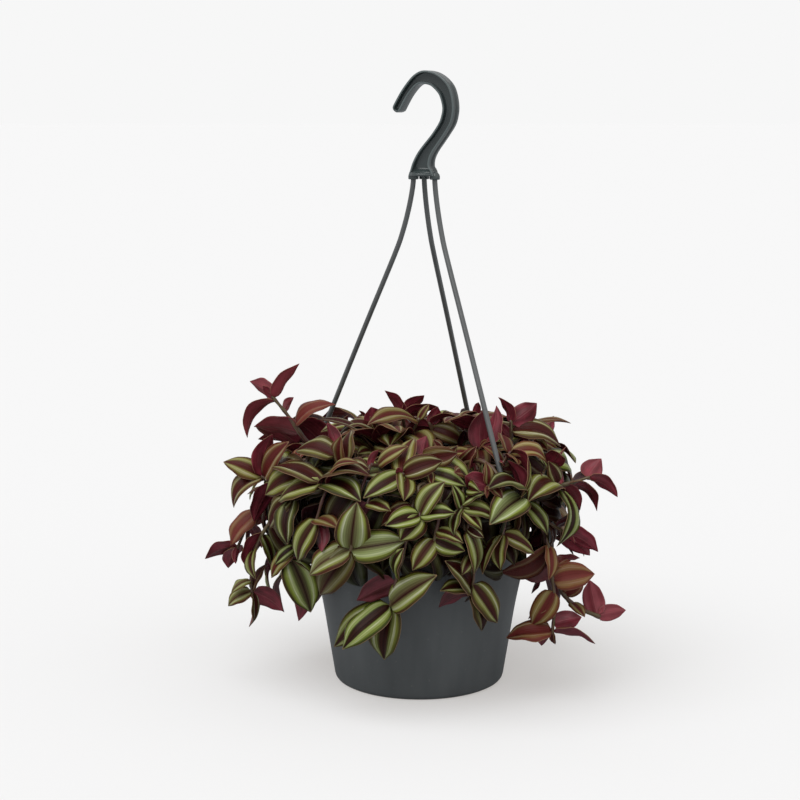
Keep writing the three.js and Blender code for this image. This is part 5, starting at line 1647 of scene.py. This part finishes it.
def grown(base: Array, way: Array, length: float, facing: Array, bulge: float,
          slimness: float) -> Blade:
    """A new leaf.

    Args:
        base: Where it springs from.
        way: Which way it reaches.
        length: Its length.
        facing: Which way its upper side faces.
        bulge: How much its midrib bulges, against its length.
        slimness: Its width against its length.

    Returns:
        The leaf, green and without blush.
    """
    reach = unit(way) * length
    facing = square_to(facing, reach)
    across = np.cross(unit(reach), facing)
    return Blade(base.copy(), reach, facing * bulge * length, across, length * slimness)


@dataclass
class LeafyStem:
    """One leafy stem as it is dressed: its lines and its leaves."""

    name: str
    lines: list[Array]
    blades: list[Blade]
    silver: float = 0.45
    blush: float = 0.0
    radius: float = 1.45 * MM
    shoot_share: float = 0.85
    taper: float = 0.35
    swelling: float = 0.28
    swelling_length: float = 2.2 * MM
    crowded: float = 7 * MM
    pot_clearance: tuple[float, float] = (92 * MM, 150 * MM)
    young: int = 3
    young_length: tuple[float, float] = (8, 15)
    joint_step: int = 6
    joint_tries: int = 7
    joint_length: tuple[float, float] = (15, 27)

    def attach(self) -> None:
        """Seats the base of each leaf on the nearest smooth line."""
        track = np.vstack(self.lines)
        for blade in self.blades:
            seat = nearest(track, blade.base)
            blade.reach, blade.base = blade.tip - seat, seat

    def sprout(self, canopy: Canopy) -> None:
        """Adds the young leaves at the end of each line, where they find room.

        Args:
            canopy: Every leaf so far.
        """
        stream = random.Random(self.name + "_young")
        for line in self.lines:
            along = unit(line[-1] - line[-3])
            turn = stream.uniform(0, math.tau)
            for number in range(self.young):
                out = spoke(along, turn + number * 2.2)
                length = stream.uniform(*self.young_length) * MM
                facing = unit(along * 0.6 - out + UP * 0.4)
                way = along + out * stream.uniform(0.25, 0.7)
                blade = grown(line[-2], way, length, facing, 0.3, 0.4)
                blade.silver, blade.blush = self.silver * 0.6, min(self.blush + 0.35, 0.8)
                if canopy.is_free(blade):
                    canopy.add(blade)
                    self.blades.append(blade)

    def dress(self, canopy: Canopy) -> int:
        """Adds a leaf at each bare joint of the stem outside the pot, where it finds room.

        Args:
            canopy: Every leaf so far.

        Returns:
            How many leaves were added.
        """
        stream = random.Random(self.name + "_joints")
        radius, top = self.pot_clearance
        before = len(self.blades)
        for line in self.lines:
            for index in range(4, len(line) - 3, self.joint_step):
                joint = line[index]
                bare = min(norm(blade.base - joint) for blade in self.blades) >= self.crowded
                in_pot = joint[2] < top and np.hypot(joint[0], joint[1]) < radius
                if bare and not in_pot:
                    self.dress_joint(joint, unit(line[index + 1] - line[index - 1]), canopy, stream)
        return len(self.blades) - before

    def dress_joint(self, joint: Array, along: Array, canopy: Canopy,
                    stream: random.Random) -> None:
        """Tries a few leaves at one joint and keeps the first that finds room.

        Args:
            joint: The joint's place.
            along: Which way the stem runs there.
            canopy: Every leaf so far.
            stream: The stem's own random draws.
        """
        outward = radial(joint)
        for _ in range(self.joint_tries):
            out = spoke(along, stream.uniform(0, math.tau))
            length = stream.uniform(*self.joint_length) * MM
            way = along * 0.5 + out + outward * 0.35 - UP * 0.15
            facing = outward * 0.7 + UP * 0.6 + scattered(stream, 0.25)
            bulge, slimness = stream.uniform(0.3, 0.7), stream.uniform(0.46, 0.56)
            blade = grown(joint, way, length, facing, bulge, slimness)
            within = np.all(blade.tip > LOW + 2 * MM) and np.all(blade.tip < HIGH - 2 * MM)
            if within and canopy.is_free(blade):
                canopy.add(blade)
                self.blades.append(tinted(blade, self, stream))
                break

    def make(self, finishes: Finishes, form: LeafForm) -> None:
        """Builds the stem's piece.

        Args:
            finishes: Every finish.
            form: The form of a leaf.
        """
        stream = random.Random(self.name)
        mould = Mould(f"{self.name}_dressed")
        bases = np.array([blade.base for blade in self.blades])
        for number, line in enumerate(self.lines):
            radii = np.full(len(line), self.radius * (self.shoot_share if number else 1.0))
            radii *= 1 - self.taper * ease(0.45, 1.0, np.linspace(0, 1, len(line)))
            gaps = norm(line[:, None] - bases[None], axis=2).min(axis=1)
            radii *= 1 + self.swelling * np.exp(-((gaps / self.swelling_length) ** 2))
            points, faces, places = tube(line, radii, 8)
            places[:, 2] = stream.random()
            mould.add(points, faces, 2, places, (self.silver, self.blush, 0))
        for blade in self.blades:
            form.add(mould, blade, stream)
        settle(mould.make(finishes.foliage), Slot.FOLIAGE, self.name)


@dataclass
class Infill:
    """Adds the leaves that close the canopy, wherever a line of sight would pass through it.

    Its target lists (radius, height) of the surface to be covered, in millimetres. Its mass is the
    outline of the crown's closed part as the camera sees it, in pixels, and its window the ranges
    of pixels that the outline lies in.
    """

    stems: list[LeafyStem]
    canopy: Canopy
    seed: int = 5
    target: tuple[tuple[float, float], ...] = (
        (0, 159), (28, 158), (52, 154), (70, 148), (83, 138), (89, 125), (88, 110), (84, 94))
    mass: tuple[tuple[float, float], ...] = (
        (300, 447), (330, 431), (350, 421), (370, 413), (400, 403), (430, 405), (465, 409),
        (490, 413), (515, 426), (540, 441), (560, 459), (572, 480), (580, 500), (572, 525),
        (560, 548), (545, 560), (530, 540), (514, 538), (500, 534), (488, 536), (476, 541),
        (462, 544), (448, 556), (438, 568), (424, 578), (405, 582), (392, 578), (378, 582),
        (362, 580), (352, 572), (340, 558), (325, 548), (312, 548), (300, 562), (284, 570),
        (268, 562), (256, 540), (250, 512), (254, 485), (270, 464), (285, 454))
    window: tuple[tuple[int, int], tuple[int, int]] = ((244, 590), (398, 600))
    sides: int = 48
    open_radius: float = 86 * MM
    open_height: float = 142 * MM
    slack: float = 8 * MM
    reach: float = 34 * MM
    branch_reach: float = 62 * MM
    best_gap: float = 13 * MM
    least_gap: float = 4 * MM
    least_branch: float = 12 * MM
    leaf_length: tuple[float, float] = (19 * MM, 35 * MM)
    springs_tried: int = 16
    leaves_tried: int = 2
    branches_tried: int = 10
    end_leaves_tried: int = 4
    middle_height: float = 120 * MM
    half_view: float = 120 * MM
    distance: float = 500 * MM
    most: int = 620
    added: int = 0

    def __post_init__(self) -> None:
        """Prepares the surface to be covered and the points where leaves can spring."""
        self.stream = random.Random(self.seed)
        angles = np.linspace(0, 2 * math.pi, self.sides, endpoint=False)
        points = []
        for (radius, height), angle in itertools.product(self.target, angles):
            x, y = radius * MM * math.cos(angle), radius * MM * math.sin(angle)
            point = np.array((x, y, height * MM))
            points.append(tuple(point * (1 + 0.05 * noise(Vector(point * 25)))))
        faces = grid_faces(len(self.target), self.sides, closed=True)
        self.surface = BVHTree.FromPolygons(points, faces)
        self.springs = [(stem, point) for stem in self.stems for line in stem.lines
                        for point in line[::2] if self.is_open(point)]
        self.index_springs()

    def index_springs(self) -> None:
        """Sorts the points where leaves can spring, for quick search."""
        self.tree = point_tree((index, point) for index, (_, point) in enumerate(self.springs))

    def is_open(self, point: Array) -> bool:
        """Whether a point lies above the compost or outside the pot."""
        return bool(point[2] > self.open_height or np.hypot(point[0], point[1]) > self.open_radius)

    def is_in_mass(self, x: float, y: float) -> bool:
        """Whether a point of the picture lies in the closed part of the crown."""
        inside = False
        for (x1, y1), (x2, y2) in zip(self.mass, self.mass[1:] + self.mass[:1]):
            if (y1 > y) != (y2 > y) and x < x1 + (y - y1) * (x2 - x1) / (y2 - y1):
                inside = not inside
        return inside

    def from_camera(self, step: int) -> list[tuple[Vector, Vector]]:
        """Lines of sight from the camera through the closed part of the crown."""
        rays = []
        for x, y in itertools.product(*(range(first, last, step) for first, last in self.window)):
            if self.is_in_mass(x, y):
                sight = Vector((x - Camera.middle, Camera.middle - y, -Camera.focal_pixels))
                sight.rotate(Camera.rotation())
                rays.append((Vector(Camera.place), sight.normalized()))
        return rays

    def from_side(self, azimuth: float, elevation: float,
                  step: float) -> list[tuple[Vector, Vector]]:
        """Even lines of sight from one direction.

        Args:
            azimuth: Degrees round the plant.
            elevation: Degrees above the level.
            step: Gap between two lines.

        Returns:
            Origin and direction of each line.
        """
        turn, tilt = math.radians(azimuth), math.radians(elevation)
        right = Vector((math.cos(turn), math.sin(turn), 0))
        level = math.cos(tilt)
        back = Vector((math.sin(turn) * level, -math.cos(turn) * level, math.sin(tilt)))
        over = back.cross(right)
        start = Vector((0, 0, self.middle_height)) + back * self.distance
        reach = np.arange(-self.half_view, self.half_view, step)
        return [(start + right * x - over * y, -back) for x in reach for y in reach]

    def cover(self, rays: list[tuple[Vector, Vector]], rounds: int = 1) -> None:
        """Tries to close every open line of sight.

        Args:
            rays: Origins and directions.
            rounds: How often each open one is tried.
        """
        for _ in range(rounds):
            self.stream.shuffle(rays)
            missed = 0
            for origin, direction in rays:
                if self.added >= self.most:
                    return
                point, normal, _, distance = self.surface.ray_cast(origin, direction)
                if point is None or self.canopy.covers(origin, direction, distance + self.slack):
                    continue
                place = np.array(point)
                outward = np.array(-normal if normal.dot(direction) > 0 else normal)
                missed += not self.grow_at(place, outward) and not self.branch_to(place, outward)
            LOG.info("open lines left: %d of %d", missed, len(rays))

    def grow_at(self, target: Array, outward: Array) -> bool:
        """Grows one leaf through a point, from the best stem near it.

        Args:
            target: The point.
            outward: The way out of the crown there.

        Returns:
            Whether a leaf was added.
        """
        slope = radial(target) * 0.5 - UP
        slope = unit(slope - outward * np.dot(slope, outward))
        choices = []
        for _, index, gap in self.tree.find_range(target, self.reach):
            if gap >= self.least_gap:
                fall = np.dot(unit(target - self.springs[index][1]), slope)
                away = abs(gap - self.best_gap) / self.best_gap
                choices.append((away - 0.9 * fall + self.stream.uniform(0, 0.5), index))
        choices.sort()
        for _, index in choices[:self.springs_tried]:
            stem, spring = self.springs[index]
            for _ in range(self.leaves_tried):
                blade = self.shaped(stem, spring, target, outward)
                if blade is not None and self.canopy.is_free(blade):
                    self.keep(stem, blade)
                    return True
        return False

    def keep(self, stem: LeafyStem, blade: Blade) -> None:
        """Adds a leaf to its stem and to the canopy."""
        blade.inner = True
        stem.blades.append(blade)
        self.canopy.add(blade)
        self.added += 1

    def branch_to(self, target: Array, outward: Array) -> bool:
        """Sends a side shoot towards a point that no leaf could reach, with a leaf at its end.

        Args:
            target: The point.
            outward: The way out of the crown there.

        Returns:
            Whether a shoot was added.
        """
        near = self.tree.find_range(target, self.branch_reach)
        found = sorted((gap, index) for _, index, gap in near)
        for gap, index in found[::3][:self.branches_tried]:
            stem, spring = self.springs[index]
            end = target - outward * 5 * MM + UP * 4 * MM
            middle = (spring + end) / 2 + (outward * 0.7 + UP * 0.5) * gap * 0.22
            line = smooth_line(np.array((spring, middle, end)), 1.8 * MM)
            if gap < self.least_branch or not self.canopy.is_line_free(line):
                continue
            for _ in range(self.end_leaves_tried):
                blade = self.shaped(stem, line[-1], target, outward)
                if blade is not None and self.canopy.is_free(blade):
                    stem.lines.append(line)
                    self.keep(stem, blade)
                    self.springs += [(stem, point) for point in line[3::2]]
                    self.index_springs()
                    return True
        return False

    def shaped(self, stem: LeafyStem, spring: Array, target: Array, outward: Array) -> Blade | None:
        """A leaf from a stem through a point, or None if it would leave the crown.

        Args:
            stem: The stem that bears it.
            spring: Where it springs from.
            target: The point that it has to cover.
            outward: The way out of the crown there.

        Returns:
            The leaf.
        """
        arm = target - spring
        gap = float(norm(arm))
        shortest, longest = self.leaf_length
        length = min(max(gap * self.stream.uniform(1.4, 2.1), shortest), longest)
        way = unit(arm) + scattered(self.stream, 0.16)
        facing = outward + UP * 0.3 + scattered(self.stream, 0.3)
        tip = spring + unit(way) * length
        if np.any(tip < LOW) or np.any(tip > HIGH):
            return None
        bulge, slimness = self.stream.uniform(0.06, 0.2) * 4, self.stream.uniform(0.5, 0.6)
        return tinted(grown(spring, way, length, facing, bulge, slimness), stem, self.stream)


def scattered(stream: random.Random, spread: float) -> Array:
    """A random push any way."""
    return np.array([stream.gauss(0, spread) for _ in range(3)])


def tinted(blade: Blade, stem: LeafyStem, stream: random.Random) -> Blade:
    """Gives a leaf its own share of silver and blush about its stem's, redder towards the top."""
    high = float(ease(148 * MM, 172 * MM, blade.tip[2]))
    most = max(stem.blush + 0.1, 0.65)
    blade.silver = min(max(stem.silver - 0.3 * high + stream.gauss(0, 0.24), 0), 1)
    blade.blush = min(max(stem.blush + 0.4 * high + stream.gauss(0, 0.15), 0), most, 1)
    return blade


@dataclass
class Plant:
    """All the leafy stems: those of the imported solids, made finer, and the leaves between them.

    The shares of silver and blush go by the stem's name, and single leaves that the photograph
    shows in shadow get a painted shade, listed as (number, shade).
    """

    silvery: dict[str, float] = field(default_factory=lambda: {
        "front_left": 0.95, "left_big": 0.8, "centre_rosette": 0.6, "front_middle": 0.6,
        "front_bottom": 0.62, "upper_left": 0.2, "lower_right": 0.25, "lower_right_arm": 0.2,
        "hanging_a": 0.3, "hanging_b": 0.3})
    blushing: dict[str, float] = field(default_factory=lambda: {
        "upper_left": 0.85, "lower_right": 0.8, "lower_right_arm": 0.95, "top_burgundy": 0.4,
        "top_mauve": 0.4, "right_top": 0.4, "behind_right": 0.5, "red_round": 0.45,
        "left_hanging": 0.4, "left_long": 0.3, "left_pink": 0.85, "left_green": 0.15,
        "left_cluster": 0.4, "right_low": 0.6, "right_spray": 0.75, "hanging_a": 0.15,
        "hanging_b": 0.25})
    # Painted shade on single leaves, as (number, shade) by stem name.
    painted_shade_leaves: dict[str, tuple[tuple[int, float], ...]] = field(default_factory=lambda: {
        "front_bottom": ((0, 0.6),), "top_mauve": ((0, 0.3), (1, 0.3), (2, 0.3))})
    usual_silver: float = 0.42
    usual_blush: float = 0.08
    darkest: float = 0.88
    inner_depths: tuple[float, float] = (0.15, 0.8)
    outer_depths: tuple[float, float] = (0.34, 0.93)
    stems: list[LeafyStem] = field(default_factory=list)

    def read(self) -> None:
        """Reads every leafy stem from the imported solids."""
        prefix = "leafy_stem_"
        for name in sorted(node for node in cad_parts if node.startswith(prefix)):
            packed = PackedStem(name)
            short = name.removeprefix(prefix)
            silver = self.silvery.get(short, self.usual_silver)
            blush = self.blushing.get(short, self.usual_blush)
            lines = [smooth_line(line, 1.8 * MM) for line in packed.lines]
            stem = LeafyStem(name, lines, packed.blades, silver, blush)
            stream = random.Random(name + "_tint")
            for blade in stem.blades:
                tinted(blade, stem, stream)
            stem.attach()
            self.stems.append(stem)
            LOG.info("%s: %d leaves, %d lines", name, len(stem.blades), len(lines))

    def make(self, finishes: Finishes) -> None:
        """Builds every leafy stem with the leaves that close the canopy.

        Args:
            finishes: Every finish.
        """
        self.read()
        fixed = ("pot", "leg_left", "leg_back", "leg_right", "soil")
        canopy = Canopy(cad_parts[name] for name in fixed)
        for stem in self.stems:
            for blade in stem.blades:
                canopy.add(blade)
        infill = Infill(self.stems, canopy)
        infill.cover(infill.from_camera(5), rounds=2)
        LOG.info("leaves added for the camera's view: %d", infill.added)
        for elevation, turn in ((14, 45), (50, 90)):
            for azimuth in range(0, 360, turn):
                infill.cover(infill.from_side(azimuth, elevation, 8 * MM))
        LOG.info("leaves added in all: %d", infill.added)
        LOG.info("leaves added at bare joints: %d", sum(stem.dress(canopy) for stem in self.stems))
        for stem in self.stems:
            stem.sprout(canopy)
        form = LeafForm()
        for stem in self.stems:
            self.shade(stem, canopy)
            stem.make(finishes, form)
        LOG.info("leaves in all: %d", sum(len(stem.blades) for stem in self.stems))

    def shade(self, stem: LeafyStem, canopy: Canopy) -> None:
        """Paints shade on the leaves that lie deep in the crown: darker, redder and less silvery.

        Args:
            stem: The stem.
            canopy: Every leaf.
        """
        for blade in stem.blades:
            depth = canopy.buried(blade)
            depths = self.inner_depths if blade.inner else self.outer_depths
            blade.shade = self.darkest * float(ease(*depths, depth))
            blade.silver = max(blade.silver - 0.3 * depth, 0.0)
            blade.blush = max(min(blade.blush + 0.15 * depth, 0.7), blade.blush)
        for number, shade in self.painted_shade_leaves.get(stem.name.removeprefix("leafy_stem_"), ()):
            stem.blades[number].shade = shade


# ---- Studio ----


class Camera:
    """The camera at the photograph's place, with its lens."""

    place = (-13 * MM, -1170 * MM, 377.85 * MM)
    pitch = math.radians(9.155)
    focal_pixels = 1780.82
    middle = 400
    lens = 80.137
    sensor_width = 36

    @classmethod
    def rotation(cls) -> Euler:
        """How the camera is turned."""
        return Euler((math.pi / 2 - cls.pitch, 0, 0))

    def make(self) -> None:
        """Sets the camera up and makes it the scene's own."""
        data = bpy.data.cameras.new("camera")
        data.lens, data.sensor_width = self.lens, self.sensor_width
        data.clip_start, data.clip_end = 0.05, 200
        camera = placed("camera", data)
        camera.location = self.place
        camera.rotation_euler = self.rotation()
        bpy.context.scene.camera = camera


@dataclass(frozen=True)
class Light:
    """A large soft light: where it shines from, how strongly, and how large it looks."""

    name: str
    place: tuple[float, float, float]
    power: float
    spread: float

    def make(self) -> None:
        """Hangs the light."""
        data = bpy.data.lights.new(self.name, "SUN")
        data.energy, data.angle = self.power, math.radians(self.spread)
        lamp = placed(self.name, data)
        lamp.rotation_euler = (-Vector(self.place)).to_track_quat("-Z", "Y").to_euler()


@dataclass
class Studio:
    """A plain pale floor, an even surround, and two large soft lights."""

    backdrop: tuple = srgb(247, 247, 247)
    surround: float = 0.58
    key: Light = Light("key_light", (-0.42, -0.42, 1.0), 2.15, 62)
    fill: Light = Light("fill_light", (0.9, -0.7, 0.55), 0.6, 90)
    paper: tuple = (0.435, 0.45, 0.465, 1.0)
    glow: tuple = (0.391, 0.371, 0.353, 1.0)
    floor_radius: float = 60.0

    def make(self) -> None:
        """Builds the floor, the lights and the surround."""
        profile = [(0, -1), (self.floor_radius, -1), (self.floor_radius, 0), (0, 0)]
        points, faces = turned(profile, 64)
        floor = solid("floor", points, faces)
        material, nodes = new_material("floor_paper")
        seen = nodes.add("ShaderNodeLightPath").outputs["Is Camera Ray"]
        nodes.surface(Base_Color=self.paper, Roughness=1.0, Specular_IOR_Level=0.0,
                      Emission_Color=self.glow, Emission_Strength=seen)
        floor.data.materials.append(material)
        self.key.make()
        self.fill.make()
        self.surroundings()

    def surroundings(self) -> None:
        """An even white surround that the camera sees in the floor's own tone."""
        world = bpy.data.worlds.new("surround")
        world.use_nodes = True
        nodes = Nodes(world.node_tree)
        seen = nodes.add("ShaderNodeLightPath").outputs["Is Camera Ray"]
        glow = nodes.add("ShaderNodeBackground", {"Color": (1, 1, 1, 1), "Strength": self.surround})
        plain = nodes.add("ShaderNodeBackground", {"Color": self.backdrop, "Strength": 1.0})
        mixed = nodes.add("ShaderNodeMixShader", {0: seen, 1: glow.outputs[0], 2: plain.outputs[0]})
        nodes.add("ShaderNodeOutputWorld", {"Surface": mixed.outputs[0]})
        bpy.context.scene.world = world


def main() -> None:
    """Builds the studio, the pot, its hanger and the plant."""
    logging.basicConfig(level=logging.INFO, format="%(name)s %(message)s")
    bpy.context.scene.view_settings.view_transform = "Standard"
    Camera().make()
    Studio().make()
    finishes = Finishes()
    Pot().make(finishes)
    Hanger().make(finishes)
    Soil().make(finishes)
    Plant().make(finishes)


if __name__ == "__main__":
    main()
